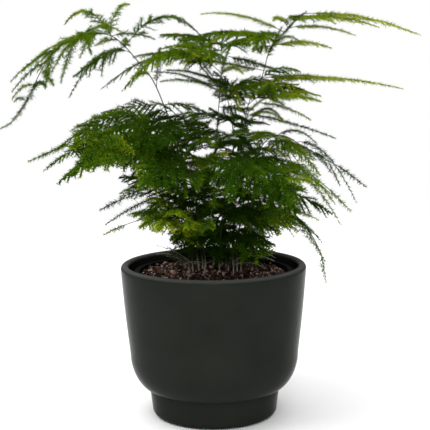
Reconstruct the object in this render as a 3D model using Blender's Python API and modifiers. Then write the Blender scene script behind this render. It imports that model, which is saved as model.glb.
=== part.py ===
"""Potted asparagus fern: twenty feathery fronds in a nursery pot that stands in a round ceramic pot.

Units are metres, +Z is up, and the origin is the centre of the ceramic pot's flat underside.
The pots and the soil are turned shapes. Each frond is one fused body: a thin wiry stem, and flat
sprays whose branchlets are cut as leaflets down to the rib of one thin arched blade.
"""
import math

import bmesh
import bpy
import numpy as np
from mathutils import Vector, noise
from mathutils.bvhtree import BVHTree

MM = 0.001
GAP = 0.0003

# Ceramic pot
POT_HEIGHT = 0.1568
RIM_RADIUS = 0.095
LIP_RADIUS = 0.0043
BELLY_RADIUS = 0.0868
BELLY_TOP = 0.0653
FOOT_TOP_RADIUS = 0.0671
FOOT_HEIGHT = 0.0284
FOOT_RADIUS = 0.0646
FOOT_EDGE = 0.006
POT_WALL = 0.007
POT_FLOOR = 0.009
POT_STEPS = 32

# Black nursery pot inside it
LINER_BASE = 0.053
LINER_TOP = 0.077
LINER_RIM = 0.082
LINER_RIM_Z = 0.1495
LINER_LIP = 0.005
LINER_WALL = 0.0012
LINER_STEPS = 24
DRAIN_HOLES = 4
DRAIN_RADIUS = 0.005
DRAIN_CIRCLE = 0.038

# Soil
SOIL_EDGE = 0.146
SOIL_DOME = 0.003
SOIL_LUMP = 0.0012
SOIL_RINGS = (0.062, 0.044, 0.022)
SOIL_TOP = 0.151
SOIL_LUMP_RATE = 90.0

# Stems and sprays
STEM_FOOT = 0.1345
STEM_THICK = 0.0009
STEM_THIN = 0.0006
STEM_STEP = 0.025
STEM_SHARE = 0.88
TIP_SHARE = 0.86
TIP_WIDTH = 9
HOLE_CLEARANCE = 0.0004
HOLE_SIDES = 6
HOLE_DEPTH = 0.03
PATH_POINTS = 201
RIB_POINTS = 24
RIB_HALF = 0.0006
RIB_RISE = 0.0004
RIB_DROP = 0.0003
ROOT_SIZE = 0.45
BARE_SHARE = 0.10
LEAFLET_STEP = 0.0145
LEAFLET_DROOP = 0.14
RAKE_WIDTHS = (0.009, 0.026)
RAKES = (0.78, 0.56)
RAKE_TIP = 0.96
NEEDLE = 0.003
LEAN = 30
OUTWARD_SHARE = 0.45
FRONT_NEAR = 0.09
FRONT_FADE = 0.06

# How the sprays are kept apart: clear distance of a rib, the lifts tried in millimetres, the extra
# thickness in the crossing test, and how a leaflet that would cross is shortened
CLEAR = 0.0035
LIFTS = (0, 4, -4, 8, -8, 12, -12, 16, -16)
MARGIN = 1.7
SHORTEN = 0.62
SHORTEST = 0.3
SHORTEN_TRIES = 7

# Greens of the fronds: shaded ones, middle ones and the yellower young ones
DARK = (0.028, 0.080, 0.010)
MIDDLE = (0.045, 0.115, 0.012)
BRIGHT = (0.090, 0.170, 0.015)

# Every frond: its green, its stem's route in millimetres from the soil to the tip, and its sprays,
# each as (place along the stem in %, tip x, y, z in mm, arch in % of its length, half width in mm)
FRONDS = {
    "frond_arch_left": (
        MIDDLE,
        [(-8, 6, 151), (-11, 9, 179), (-18, 9, 221), (-29, 6, 262), (-45, 0, 309), (-58, -6, 342),
         (-72, -12, 361), (-88, -20, 380), (-101, -28, 388), (-118, -39, 388), (-138, -51, 380),
         (-152, -62, 367), (-162, -72, 349), (-169, -78, 332), (-185, -86, 308), (-195, -90, 302)],
        [(48, -53, 42, 376, 12, 8), (51, -78, -52, 338, 16, 6), (60, -12, 52, 389, 23, 16),
         (60, -132, -51, 348, 4, 19), (58, -135, -62, 329, 21, 8), (60, -87, 22, 386, 0, 11),
         (64, -150, 30, 400, 24, 15), (65, -83, 22, 419, 16, 11), (64, -112, 30, 402, 5, 10),
         (66, -189, 2, 354, 11, 14), (68, -124, -60, 366, 12, 12), (70, -150, -70, 352, 16, 12),
         (73, -140, -80, 343, 6, 10), (78, -192, -49, 344, 8, 11), (62, -112, -30, 378, 12, 13),
         (66, -174, -14, 358, 12, 13), (65, -146, -8, 374, 14, 13), (76, -168, -40, 352, 8, 10),
         (80, -152, -96, 338, 8, 11), (82, -188, -66, 335, 9, 6), (84, -143, -107, 341, 2, 8),
         (88, -185, -81, 329, 20, 6), (43, -94, 6, 283, 4, 22), (38, -101, 50, 251, 3, 23),
         (32, -90, 92, 245, 6, 25)]),
    "frond_plume_right": (
        BRIGHT,
        [(13, 6, 151), (16, 9, 179), (24, 14, 230), (30, 14, 281), (36, 11, 314), (43, 7, 332),
         (50, 4, 344), (54, 0, 358), (57, -3, 369), (65, -8, 381), (74, -12, 391), (83, -18, 401),
         (92, -22, 408)],
        [(62, 100, 45, 329, 16, 36), (71, 186, -30, 333, 5, 14), (75, -30, 25, 369, 0, 15),
         (79, 68, -33, 393, 4, 6), (72, 92, 36, 350, 13, 19), (84, 116, -30, 373, 8, 17),
         (82, 84, -54, 378, 17, 6), (86, -24, 54, 385, 8, 36), (87, 38, -84, 370, 13, 17),
         (90, -10, 22, 409, 8, 9), (92, 137, -40, 385, 7, 9), (92, 59, -47, 399, 16, 12),
         (95, 117, -62, 395, 10, 13), (99, 196, -60, 384, 6, 15), (50, 86, 56, 278, 6, 11),
         (42, 70, 74, 262, 14, 22)]),
    "frond_tall_centre": (
        MIDDLE,
        [(0, 10, 151), (0, 14, 183), (2, 18, 240), (5, 18, 292), (8, 15, 327), (10, 11, 348),
         (14, 6, 363), (18, 0, 375)],
        [(88, -85, -59, 334, 24, 22), (93, -112, 20, 335, 16, 19), (92, -80, 28, 367, 8, 20),
         (100, -55, 72, 390, 5, 30), (100, 32, -78, 380, 3, 21), (96, 64, -34, 353, 0, 14),
         (88, 30, -53, 349, 9, 6), (84, -43, -56, 353, 5, 8), (82, -51, 1, 342, 7, 9),
         (80, -55, 56, 351, 7, 6), (78, 53, 52, 328, 3, 19), (69, -28, 50, 303, 11, 17),
         (68, 40, 60, 296, 10, 25), (60, -63, 47, 278, 7, 36), (55, 32, 102, 262, 14, 34),
         (50, -35, 98, 250, 3, 24)]),
    "frond_thin_centre": (
        DARK,
        [(20, 12, 151), (21, 18, 177), (21, 26, 229), (22, 30, 280), (19, 28, 309), (13, 26, 330),
         (-1, 24, 345), (-13, 20, 359)],
        [(89, -41, -16, 371, 19, 6), (98, -32, 54, 383, 19, 18), (80, 53, 70, 338, 13, 21),
         (70, -3, 90, 312, 0, 18), (67, 62, 80, 293, 8, 14), (63, -22, 42, 299, 1, 18),
         (52, 72, 48, 247, 15, 32), (45, 52, 83, 227, 0, 19), (40, -25, 90, 223, 1, 17)]),
    "frond_broad_left": (
        DARK,
        [(-15, -2, 151), (-18, -8, 182), (-23, -16, 219), (-30, -24, 260), (-41, -32, 290),
         (-58, -42, 307), (-79, -52, 311), (-99, -62, 306), (-120, -70, 294), (-146, -76, 281),
         (-172, -82, 270)],
        [(62, -139, -28, 295, 10, 12), (50, -139, -130, 254, 9, 28), (58, -154, -107, 264, 7, 19),
         (68, -146, -78, 280, 9, 19), (66, -129, -126, 259, 1, 23), (42, -116, -132, 268, 6, 26),
         (46, -120, -112, 267, 8, 34), (32, -67, -120, 261, 13, 36), (26, -68, -64, 249, 19, 26),
         (40, -69, -7, 289, 14, 30), (75, -129, -100, 284, 8, 20), (54, -40, -130, 287, 12, 36),
         (25, -49, -98, 238, 7, 15)]),
    "frond_thin_left": (
        MIDDLE,
        [(-11, 2, 151), (-14, 4, 180), (-19, 2, 232), (-26, -4, 283), (-34, -8, 306),
         (-47, -14, 318), (-61, -20, 323)],
        [(82, -19, -44, 312, 8, 6), (74, -15, -54, 309, 10, 17), (88, -86, -4, 304, 0, 16),
         (80, -65, 56, 296, 11, 30), (65, -7, -56, 289, 5, 34), (94, -109, -13, 312, 3, 22),
         (70, -43, 54, 271, 1, 26)]),
    "frond_pale_right": (
        BRIGHT,
        [(24, 0, 151), (26, -4, 181), (28, -8, 222), (31, -12, 263), (34, -18, 305),
         (43, -26, 319), (53, -34, 326)],
        [(98, 102, -79, 323, 6, 17), (100, 106, -28, 327, 8, 17), (94, 94, -55, 305, 7, 6),
         (86, 118, -53, 287, 3, 6), (84, 69, -70, 303, 13, 6), (98, 54, -97, 342, 3, 17),
         (82, 20, -58, 311, 4, 16), (77, 66, -67, 306, 26, 8)]),
    "frond_weeping_high": (
        BRIGHT,
        [(28, -4, 151), (31, 1, 180), (38, 4, 231), (45, 4, 264), (55, 0, 282), (71, -8, 287),
         (91, -18, 276), (111, -28, 265), (128, -36, 255), (149, -46, 239)],
        [(61, 98, -72, 284, 11, 6), (69, 140, -42, 224, 20, 6), (55, 102, -72, 253, 14, 18),
         (49, 26, -50, 290, 4, 17), (44, 3, 44, 281, 9, 20), (52, 117, 34, 262, 4, 20),
         (41, 97, 42, 253, 6, 23), (76, 113, -62, 255, 8, 9), (83, 126, -23, 239, 0, 6)]),
    "frond_weeping_middle": (
        MIDDLE,
        [(24, -14, 151), (29, -20, 183), (39, -26, 220), (51, -32, 247), (69, -40, 261),
         (91, -48, 254), (111, -56, 239), (132, -62, 218)],
        [(60, 114, -89, 228, 17, 15), (56, 120, -83, 208, 22, 11), (46, 117, -38, 212, 10, 30),
         (52, 90, -114, 252, 3, 19), (38, 90, 18, 208, 15, 26), (72, 118, -16, 229, 0, 6),
         (54, 91, -10, 254, 6, 18), (32, 70, -81, 226, 10, 6)]),
    "frond_weeping_low": (
        DARK,
        [(20, -22, 151), (26, -31, 180), (40, -40, 204), (60, -48, 218), (77, -56, 215),
         (92, -62, 199), (103, -66, 177), (108, -70, 150)],
        [(48, 100, -74, 211, 9, 10), (43, 81, -92, 207, 10, 6), (63, 105, -86, 174, 3, 10),
         (54, 109, -17, 181, 6, 15), (37, 85, -20, 193, 10, 22), (25, 52, -66, 177, 8, 28),
         (31, 68, 6, 208, 10, 6), (20, 63, -10, 163, 10, 11)]),
    "frond_low_left": (
        MIDDLE,
        [(-21, -8, 151), (-24, -12, 177), (-31, -22, 203), (-44, -34, 224), (-63, -46, 235),
         (-86, -58, 231), (-107, -68, 222)],
        [(64, -106, -38, 203, 4, 6), (66, -93, -14, 231, 15, 11), (48, -83, 8, 208, 1, 20),
         (40, -61, -90, 234, 12, 17), (22, -75, 21, 203, 25, 6), (73, -88, -67, 232, 10, 15),
         (54, -72, -90, 248, 13, 12)]),
    "frond_bright_left": (
        BRIGHT,
        [(-25, -16, 151), (-25, -24, 174), (-31, -40, 197), (-43, -58, 211), (-62, -74, 214),
         (-82, -86, 210), (-102, -92, 202)],
        [(44, -50, -130, 210, 10, 26), (28, -21, -132, 213, 12, 24), (55, -67, -112, 211, 8, 22),
         (38, 1, -118, 211, 10, 22), (17, -57, -40, 182, 6, 14), (52, -34, -130, 226, 8, 24),
         (62, -83, -40, 213, 8, 14), (14, -46, -60, 175, 5, 12)]),
    "frond_front_centre": (
        MIDDLE,
        [(6, -16, 151), (7, -24, 179), (10, -36, 216), (14, -52, 248), (21, -72, 268),
         (31, -96, 272), (37, -124, 264)],
        [(52, 0, -130, 231, 18, 8), (60, -7, -116, 252, 8, 22), (70, 46, -143, 248, 1, 34),
         (80, 67, -119, 253, 0, 30), (65, 48, -144, 253, 11, 20), (42, -2, -100, 232, 2, 8),
         (68, -11, -72, 256, 8, 36), (76, 66, -74, 268, 4, 21), (32, 28, -112, 215, 10, 18),
         (73, 16, -142, 238, 20, 29), (26, 14, -96, 192, 0, 6)]),
    "frond_front_right": (
        BRIGHT,
        [(15, -14, 151), (20, -26, 180), (31, -42, 212), (44, -58, 236), (56, -80, 248),
         (67, -106, 244)],
        [(57, 20, -119, 237, 17, 12), (78, 78, -98, 221, 2, 28), (82, 68, -136, 233, 12, 34),
         (50, 48, -119, 205, 0, 9), (40, 79, -75, 207, 10, 26), (68, 82, -40, 242, 3, 29),
         (29, 54, -84, 189, 13, 24), (24, 32, -84, 180, 8, 6)]),
    "frond_front_left": (
        DARK,
        [(-9, -18, 151), (-10, -26, 180), (-14, -38, 212), (-18, -56, 243), (-25, -78, 264),
         (-35, -104, 266)],
        [(58, -56, -106, 250, 14, 26), (77, -65, -140, 251, 12, 36), (68, -13, -124, 245, 17, 17),
         (42, -32, -104, 234, 21, 6), (72, -58, -38, 265, 15, 34), (32, -11, -90, 190, 0, 9),
         (52, 2, -96, 244, 9, 13), (24, -26, -62, 192, 0, 7)]),
    "frond_back_left": (
        DARK,
        [(-9, 24, 151), (-12, 32, 175), (-17, 44, 216), (-27, 62, 257), (-46, 86, 284),
         (-69, 112, 289), (-93, 134, 276)],
        [(54, -72, 46, 275, 8, 21), (42, 3, 100, 263, 8, 24), (61, -10, 151, 290, 14, 36),
         (34, -61, 60, 231, 15, 22), (24, 15, 114, 215, 13, 21), (18, -52, 50, 203, 12, 22),
         (77, -101, 70, 292, 7, 36), (72, -42, 153, 268, 17, 22)]),
    "frond_back_right": (
        MIDDLE,
        [(9, 24, 151), (14, 34, 175), (25, 46, 216), (38, 62, 257), (54, 86, 278),
         (76, 112, 279), (97, 134, 266)],
        [(57, 88, 43, 252, 6, 25), (46, 6, 109, 255, 10, 24), (62, 29, 145, 292, 6, 24),
         (35, 69, 62, 222, 10, 29), (28, 55, 116, 205, 7, 25), (20, 48, 60, 182, 10, 22),
         (78, 106, 66, 266, 0, 24), (74, 54, 147, 263, 18, 21)]),
    "frond_back_centre": (
        DARK,
        [(1, 28, 151), (0, 40, 174), (0, 60, 214), (2, 84, 255), (5, 110, 277), (8, 138, 280),
         (10, 164, 264)],
        [(44, -40, 90, 242, 18, 33), (62, 53, 120, 262, 0, 22), (57, -39, 136, 263, 0, 31),
         (31, 39, 112, 201, 0, 21), (26, -34, 91, 194, 14, 21), (70, -26, 160, 273, 18, 34),
         (19, 10, 124, 168, 11, 21), (72, 40, 156, 284, 1, 22)]),
    "frond_back_low_left": (
        DARK,
        [(-16, 18, 151), (-20, 30, 170), (-30, 50, 192), (-47, 72, 204), (-67, 94, 204),
         (-89, 112, 190)],
        [(45, -69, 50, 190, 2, 22), (56, -42, 126, 183, 10, 22), (32, -15, 98, 167, 0, 20),
         (26, -47, 62, 172, 17, 18), (70, -70, 130, 181, 21, 20)]),
    "frond_back_low_right": (
        DARK,
        [(17, 19, 151), (24, 30, 170), (37, 50, 191), (56, 72, 201), (77, 94, 198),
         (96, 112, 182)],
        [(45, 75, 48, 188, 17, 31), (56, 49, 127, 179, 12, 22), (32, 19, 102, 164, 2, 21),
         (24, 67, 66, 164, 8, 22), (70, 85, 130, 180, 7, 32)]),
}


def clear_scene():
    """Remove every object that the file opened with."""
    for old in list(bpy.data.objects):
        bpy.data.objects.remove(old, do_unlink=True)


def make_collection(name):
    """Add a collection to the scene."""
    group = bpy.data.collections.new(name)
    bpy.context.scene.collection.children.link(group)
    return group


def make_material(name, colour, roughness):
    """Plain Principled material."""
    material = bpy.data.materials.new(name)
    material.use_nodes = True
    shader = material.node_tree.nodes["Principled BSDF"]
    shader.inputs["Base Color"].default_value = (*colour, 1.0)
    shader.inputs["Roughness"].default_value = roughness
    shader.inputs["Metallic"].default_value = 0.0
    return material


def add_mesh(name, vertices, faces, group, material=None):
    """Mesh object from points and faces."""
    mesh = bpy.data.meshes.new(name)
    mesh.from_pydata([tuple(point) for point in vertices], [], [tuple(face) for face in faces])
    if material:
        mesh.materials.append(material)
    shape = bpy.data.objects.new(name, mesh)
    group.objects.link(shape)
    return shape


def as_mesh(shape):
    """Replace an object by the mesh that its modifiers or its curve make, welded where it touches."""
    depsgraph = bpy.context.evaluated_depsgraph_get()
    mesh = bpy.data.meshes.new_from_object(shape.evaluated_get(depsgraph))
    work = bmesh.new()
    work.from_mesh(mesh)
    bmesh.ops.remove_doubles(work, verts=work.verts, dist=1e-6)
    work.to_mesh(mesh)
    work.free()
    solid = bpy.data.objects.new(shape.name, mesh)
    solid.matrix_world = shape.matrix_world
    for group in shape.users_collection:
        group.objects.link(solid)
    name = shape.name
    bpy.data.objects.remove(shape, do_unlink=True)
    solid.name = name
    return solid


def turned(name, outline, steps, group, material):
    """Turn an outline of (radius, height) points about Z with a Screw modifier."""
    points = [(radius, 0.0, height) for radius, height in outline]
    edges = [(i, i + 1) for i in range(len(points) - 1)]
    mesh = bpy.data.meshes.new(name)
    mesh.from_pydata(points, edges, [])
    mesh.materials.append(material)
    shape = bpy.data.objects.new(name, mesh)
    group.objects.link(shape)
    screw = shape.modifiers.new("Turn", "SCREW")
    screw.axis = "Z"
    screw.steps = steps
    screw.render_steps = steps
    screw.use_merge_vertices = True
    screw.merge_threshold = 0.00001
    screw.use_smooth_shade = True
    return shape


def arc(centre_r, centre_z, radius, start, end, count):
    """Points on a circular arc, with its angles in degrees from the outward direction."""
    angles = [math.radians(start + (end - start) * i / (count - 1)) for i in range(count)]
    return [(centre_r + radius * math.cos(a), centre_z + radius * math.sin(a)) for a in angles]


def bowl_curve(radius, foot, top, bottom, count):
    """Belly of the pot, from the wall in to the foot: radius falls as cos(a)^1.25, height as sin(a)."""
    angles = [math.pi / 2 * i / (count - 1) for i in range(count)]
    return [(foot + (radius - foot) * math.cos(a) ** 1.25, top - (top - bottom) * math.sin(a))
            for a in angles]


def make_pot(group):
    """Turned ceramic pot: rounded lip, nearly straight wall, round belly and a narrower foot."""
    lip_r = RIM_RADIUS - LIP_RADIUS
    lip_z = POT_HEIGHT - LIP_RADIUS
    inner_foot = FOOT_TOP_RADIUS - POT_WALL
    inner_step = FOOT_HEIGHT + POT_WALL
    inside = bowl_curve(BELLY_RADIUS - POT_WALL, inner_foot, BELLY_TOP, inner_step, 3)
    outside = bowl_curve(BELLY_RADIUS, FOOT_TOP_RADIUS, BELLY_TOP, FOOT_HEIGHT, 6)
    outline = [(0.0, POT_FLOOR), (inner_foot - 0.004, POT_FLOOR), (inner_foot - 0.002, POT_FLOOR + 0.003)]
    outline += list(reversed(inside))
    outline += arc(lip_r, lip_z, LIP_RADIUS, 180, 0, 6)
    outline += outside
    outline += arc(FOOT_RADIUS - FOOT_EDGE, FOOT_EDGE, FOOT_EDGE, 0, -90, 3)
    outline.append((0.0, 0.0))
    ceramic = make_material("pot_ceramic", (0.030, 0.034, 0.028), 0.55)
    return turned("pot", outline, POT_STEPS, group, ceramic)


def liner_radius(height):
    """Outer radius of the nursery pot's tapering wall at a height."""
    floor = POT_FLOOR + GAP
    share = (height - floor) / (LINER_RIM_Z - LINER_WALL - floor)
    return LINER_BASE + (LINER_TOP - LINER_BASE) * share


def make_liner(group, cutters):
    """Thin black plastic nursery pot, with a turned-over rim and drain holes in its floor."""
    floor = POT_FLOOR + GAP
    under_rim = LINER_RIM_Z - LINER_WALL
    outline = [
        (0.0, floor + LINER_WALL),
        (LINER_BASE - LINER_WALL, floor + LINER_WALL),
        (LINER_TOP - LINER_WALL, LINER_RIM_Z),
        (LINER_RIM, LINER_RIM_Z),
        (LINER_RIM, LINER_RIM_Z - LINER_LIP),
        (LINER_RIM - LINER_WALL, LINER_RIM_Z - LINER_LIP),
        (LINER_RIM - LINER_WALL, under_rim),
        (LINER_TOP, under_rim),
        (LINER_BASE, floor),
        (0.0, floor),
    ]
    plastic = make_material("nursery_plastic", (0.010, 0.010, 0.011), 0.5)
    liner = turned("nursery_pot", outline, LINER_STEPS, group, plastic)
    for i in range(DRAIN_HOLES):
        angle = 2 * math.pi * (i + 0.5) / DRAIN_HOLES
        bpy.ops.mesh.primitive_cylinder_add(
            vertices=HOLE_SIDES, radius=DRAIN_RADIUS, depth=4 * LINER_WALL,
            location=(DRAIN_CIRCLE * math.cos(angle), DRAIN_CIRCLE * math.sin(angle), floor))
        move_to(bpy.context.object, "drain_cutter_%d" % i, cutters)
    cut = liner.modifiers.new("Drain holes", "BOOLEAN")
    cut.operation = "DIFFERENCE"
    cut.operand_type = "COLLECTION"
    cut.collection = cutters
    return liner


def move_to(shape, name, group):
    """Name a cutter and move it into its collection, hidden from renders."""
    shape.name = name
    for old in list(shape.users_collection):
        old.objects.unlink(shape)
    group.objects.link(shape)
    shape.hide_render = True
    shape.display_type = "WIRE"


def make_soil(group, cutters):
    """Potting mix that fills the nursery pot: a lumpy low dome with a plain round hole for each stem."""
    bottom = POT_FLOOR + 2 * GAP + LINER_WALL
    top_radius = liner_radius(SOIL_EDGE) - LINER_WALL - GAP
    outline = [(0.0, SOIL_EDGE + SOIL_DOME)]
    outline += [(r, SOIL_EDGE + SOIL_DOME * (1 - (r / top_radius) ** 2)) for r in reversed(SOIL_RINGS)]
    outline += [(top_radius, SOIL_EDGE), (liner_radius(bottom) - LINER_WALL - GAP, bottom), (0.0, bottom)]
    mix = make_material("potting_mix", (0.035, 0.018, 0.012), 0.95)
    soil = as_mesh(turned("soil", outline, LINER_STEPS, group, mix))
    for vertex in soil.data.vertices:
        place = vertex.co
        if place.z > SOIL_EDGE - GAP and math.hypot(place.x, place.y) < SOIL_RINGS[0] + GAP:
            place.z += SOIL_LUMP * noise.noise(place * SOIL_LUMP_RATE)
    corner = (STEM_THICK + HOLE_CLEARANCE) / math.cos(math.pi / HOLE_SIDES)
    for name, (_, route, _) in FRONDS.items():
        x, y, _ = route[0]
        bpy.ops.mesh.primitive_cylinder_add(
            vertices=HOLE_SIDES, radius=corner, depth=HOLE_DEPTH,
            location=(x * MM, y * MM, STEM_FOOT - GAP + HOLE_DEPTH / 2))
        move_to(bpy.context.object, name.replace("frond", "hole"), cutters)
    cut = soil.modifiers.new("Stem holes", "BOOLEAN")
    cut.operation = "DIFFERENCE"
    cut.operand_type = "COLLECTION"
    cut.collection = cutters
    return soil


def stem_path(route):
    """Smooth stem: upright in the soil, then a Catmull-Rom curve through its route, read at even steps."""
    points = np.array(route, float) * MM
    foot = points[:1] * (1, 1, 0) + (0, 0, STEM_FOOT)
    below = points[1:2] * (1, 1, -1) + (0, 0, 2 * points[0, 2])
    ends = np.vstack([below, points, 2 * points[-1:] - points[-2:-1]])
    t = np.linspace(0, 1, 12, endpoint=False)[None, :, None]
    a, b, c, d = (ends[i:len(ends) - 3 + i, None, :] for i in range(4))
    bends = 0.5 * (2 * b + (c - a) * t + (2 * a - 5 * b + 4 * c - d) * t ** 2
                   + (3 * b - a - 3 * c + d) * t ** 3)
    curve = np.vstack([foot, bends.reshape(-1, 3), points[-1:]])
    return even_steps(curve, PATH_POINTS)


def even_steps(curve, count):
    """The same curve, read at a number of evenly spaced points."""
    run = np.concatenate([[0.0], np.cumsum(np.linalg.norm(np.diff(curve, axis=0), axis=1))])
    wanted = np.linspace(0.0, run[-1], count)
    return np.stack([np.interp(wanted, run, curve[:, k]) for k in range(3)], axis=1)


def along(path, share):
    """Point at a share of a path's length."""
    place = np.clip(share, 0.0, 1.0) * (len(path) - 1)
    return np.stack([np.interp(place, np.arange(len(path)), path[:, k]) for k in range(3)], axis=-1)


def spray_rib(root, tip, arch):
    """A spray's rib: a parabola from stem to tip, its middle raised by the arch times its length."""
    middle = (root + tip) / 2 + np.array([0.0, 0.0, 2 * arch * np.linalg.norm(tip - root)])
    t = np.linspace(0.0, 1.0, RIB_POINTS)[:, None]
    return (1 - t) ** 2 * root + 2 * t * (1 - t) * middle + t ** 2 * tip


def nearest(points, others):
    """Shortest distance between two sets of points."""
    return np.sqrt(((points[:, None, :] - others[None, :, :]) ** 2).sum(axis=2).min())


def grow():
    """All stems and ribs. A rib that would touch another frond has its tip raised or lowered."""
    paths = {name: stem_path(route) for name, (_, route, _) in FRONDS.items()}
    taken = {name: [path] for name, path in paths.items()}
    ribs = {}
    for name, (_, _, sprays) in FRONDS.items():
        others = np.vstack([np.vstack(curves) for frond, curves in taken.items() if frond != name])
        ribs[name] = []
        for place, x, y, z, arch, width in sprays:
            root = along(paths[name], place / 100)
            best = None
            for lift in LIFTS:
                rib = spray_rib(root, np.array([x, y, z + lift]) * MM, arch / 100)
                gap = nearest(rib[2:], others)
                if best is None or gap > best[0]:
                    best = (gap, rib)
                if gap > CLEAR:
                    break
            ribs[name].append((best[1], width * MM))
            taken[name].append(best[1])
    return paths, ribs


def blade_frame(rib, outward):
    """Along, across and up directions along a rib; the blade leans so that its outer side hangs, and
    one in the front half of the plant leans forwards too."""
    tangent = np.gradient(rib, axis=0)
    tangent /= np.linalg.norm(tangent, axis=1)[:, None]
    across = np.cross(tangent, [0.0, 0.0, 1.0])
    across /= np.linalg.norm(across, axis=1)[:, None] + 1e-9
    up = np.cross(across, tangent)
    front = min(1.0, max(0.0, (FRONT_NEAR - rib[-1, 1]) / FRONT_FADE))
    towards = OUTWARD_SHARE * outward + front * np.array([0.0, -1.0, 0.0])
    lean = -math.radians(LEAN) * np.clip(across @ towards, -1, 1)[:, None]
    leaned = np.cos(lean) * across + np.sin(lean) * up
    return tangent, leaned, np.cross(leaned, tangent)


def outward_from(point):
    """Level direction from the plant's middle to a point."""
    level = np.array([point[0], point[1], 0.0])
    return level / (np.linalg.norm(level) + 1e-9)


def leaflet_reach(share, width):
    """Length of a branchlet with its needles, at a share of the spray: short towards the tip."""
    return width * np.minimum(1.0, 0.55 + 2 * share) * (1 - share) ** 0.8 + NEEDLE


def make_blade(root, rib, width, keep, swell=1.0):
    """One thin arched blade, cut to its rib into leaflets.

    The rib has a three-sided section, a ridge over two edges. Each leaflet is a raked point that stands on
    the slope between two stations of the rib. keep scales each leaflet, and one of 0 is left plain.
    """
    count = len(keep)
    shares = np.concatenate([[0.0], np.linspace(BARE_SHARE, 1.0, count + 1)])
    spine = along(rib, shares)
    spine[0] = root
    tangent, across, up = blade_frame(rib, outward_from(rib[-1]))
    across, up, tangent = along(across, shares), along(up, shares), along(tangent, shares)
    size = (1 - 0.6 * shares)[:, None] * swell
    size[0] *= ROOT_SIZE
    ridge = spine + up * RIB_RISE * size
    left = spine - across * RIB_HALF * size - up * RIB_DROP * size
    right = spine + across * RIB_HALF * size - up * RIB_DROP * size
    rings = np.stack([ridge, left, right], axis=1).reshape(-1, 3)
    middle = (spine[1:-1] + spine[2:]) / 2
    share = (shares[1:-1] + shares[2:]) / 2
    reach = leaflet_reach(share, width)[:, None]
    rake = np.interp(width, RAKE_WIDTHS, RAKES)
    forward = (rake + (RAKE_TIP - rake) * share ** 2)[:, None]
    points = []
    for side, sign in ((0, -1.0), (1, 1.0)):
        aim = tangent[1:-1] * forward + across[1:-1] * sign * np.sqrt(1 - forward ** 2)
        points.append(middle + reach * keep[:, side:side + 1] * (aim - LEAFLET_DROOP * up[1:-1]))
    vertices = list(rings)
    faces, owners = [(0, 1, 2)], [-1]
    last = 3 * (len(spine) - 1)
    for station in range(len(spine) - 1):
        a, b = 3 * station, 3 * station + 3
        faces += [(a + 1, b + 2, a + 2), (a + 1, b + 1, b + 2)]
        owners += [-1, -1]
        slopes = ((a, b, b + 1, a + 1), (a, a + 2, b + 2, b))
        for side, slope in enumerate(slopes):
            leaflet = station - 1
            if leaflet < 0 or keep[leaflet, side] == 0:
                faces += [(slope[0], slope[1], slope[2]), (slope[0], slope[2], slope[3])]
                owners += [-1, -1]
            else:
                vertices.append(points[side][leaflet])
                tip = len(vertices) - 1
                faces += [(slope[k], slope[(k + 1) % 4], tip) for k in range(4)]
                owners += [2 * leaflet + side] * 4
    faces.append((last, last + 2, last + 1))
    owners.append(-1)
    return vertices, faces, owners


def tree_of(vertices, faces):
    """Search tree of a mesh, to find where another mesh crosses it."""
    return BVHTree.FromPolygons([Vector(point) for point in vertices], faces)


def object_tree(shape):
    """Search tree of an object as it is evaluated."""
    mesh = shape.evaluated_get(bpy.context.evaluated_depsgraph_get()).data
    return tree_of([v.co for v in mesh.vertices], [tuple(p.vertices) for p in mesh.polygons])


def clear_leaflets(root, rib, width, count, others):
    """Shorten the leaflets that would cross another piece, step by step, until the blade is clear."""
    keep = np.ones((count, 2))
    for _ in range(SHORTEN_TRIES):
        vertices, faces, owners = make_blade(root, rib, width, keep, swell=MARGIN)
        tree = tree_of(vertices, faces)
        hits = {owners[mine] for other in others for mine, _ in tree.overlap(other)}
        hits.discard(-1)
        if not hits:
            break
        for hit in hits:
            leaflet, side = divmod(hit, 2)
            shorter = keep[leaflet, side] * SHORTEN
            keep[leaflet, side] = shorter if shorter > SHORTEST * SHORTEN else 0
    return make_blade(root, rib, width, keep)[:2]


def stem_tube(name, line, group):
    """Tapered wiry stem along its points: a curve with a bevel and filled caps, turned into a mesh."""
    curve = bpy.data.curves.new(name, "CURVE")
    curve.dimensions = "3D"
    curve.bevel_depth = STEM_THICK
    curve.bevel_resolution = 0
    curve.use_fill_caps = True
    spline = curve.splines.new("POLY")
    spline.points.add(len(line) - 1)
    for i, point in enumerate(line):
        spline.points[i].co = (*point, 1.0)
        spline.points[i].radius = 1 - (1 - STEM_THIN / STEM_THICK) * i / (len(line) - 1)
    shape = bpy.data.objects.new(name, curve)
    group.objects.link(shape)
    return as_mesh(shape)


def fuse(stem, sprays):
    """One union of the stem and the sprays in a collection, applied; loose scraps and sealed hollows go."""
    union = stem.modifiers.new("Fuse", "BOOLEAN")
    union.operation = "UNION"
    union.operand_type = "COLLECTION"
    union.collection = sprays
    union.solver = "MANIFOLD"
    depsgraph = bpy.context.evaluated_depsgraph_get()
    mesh = bpy.data.meshes.new_from_object(stem.evaluated_get(depsgraph))
    stem.modifiers.clear()
    stem.data = mesh
    for spray in list(sprays.objects):
        bpy.data.objects.remove(spray, do_unlink=True)
    keep_largest(mesh)


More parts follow.
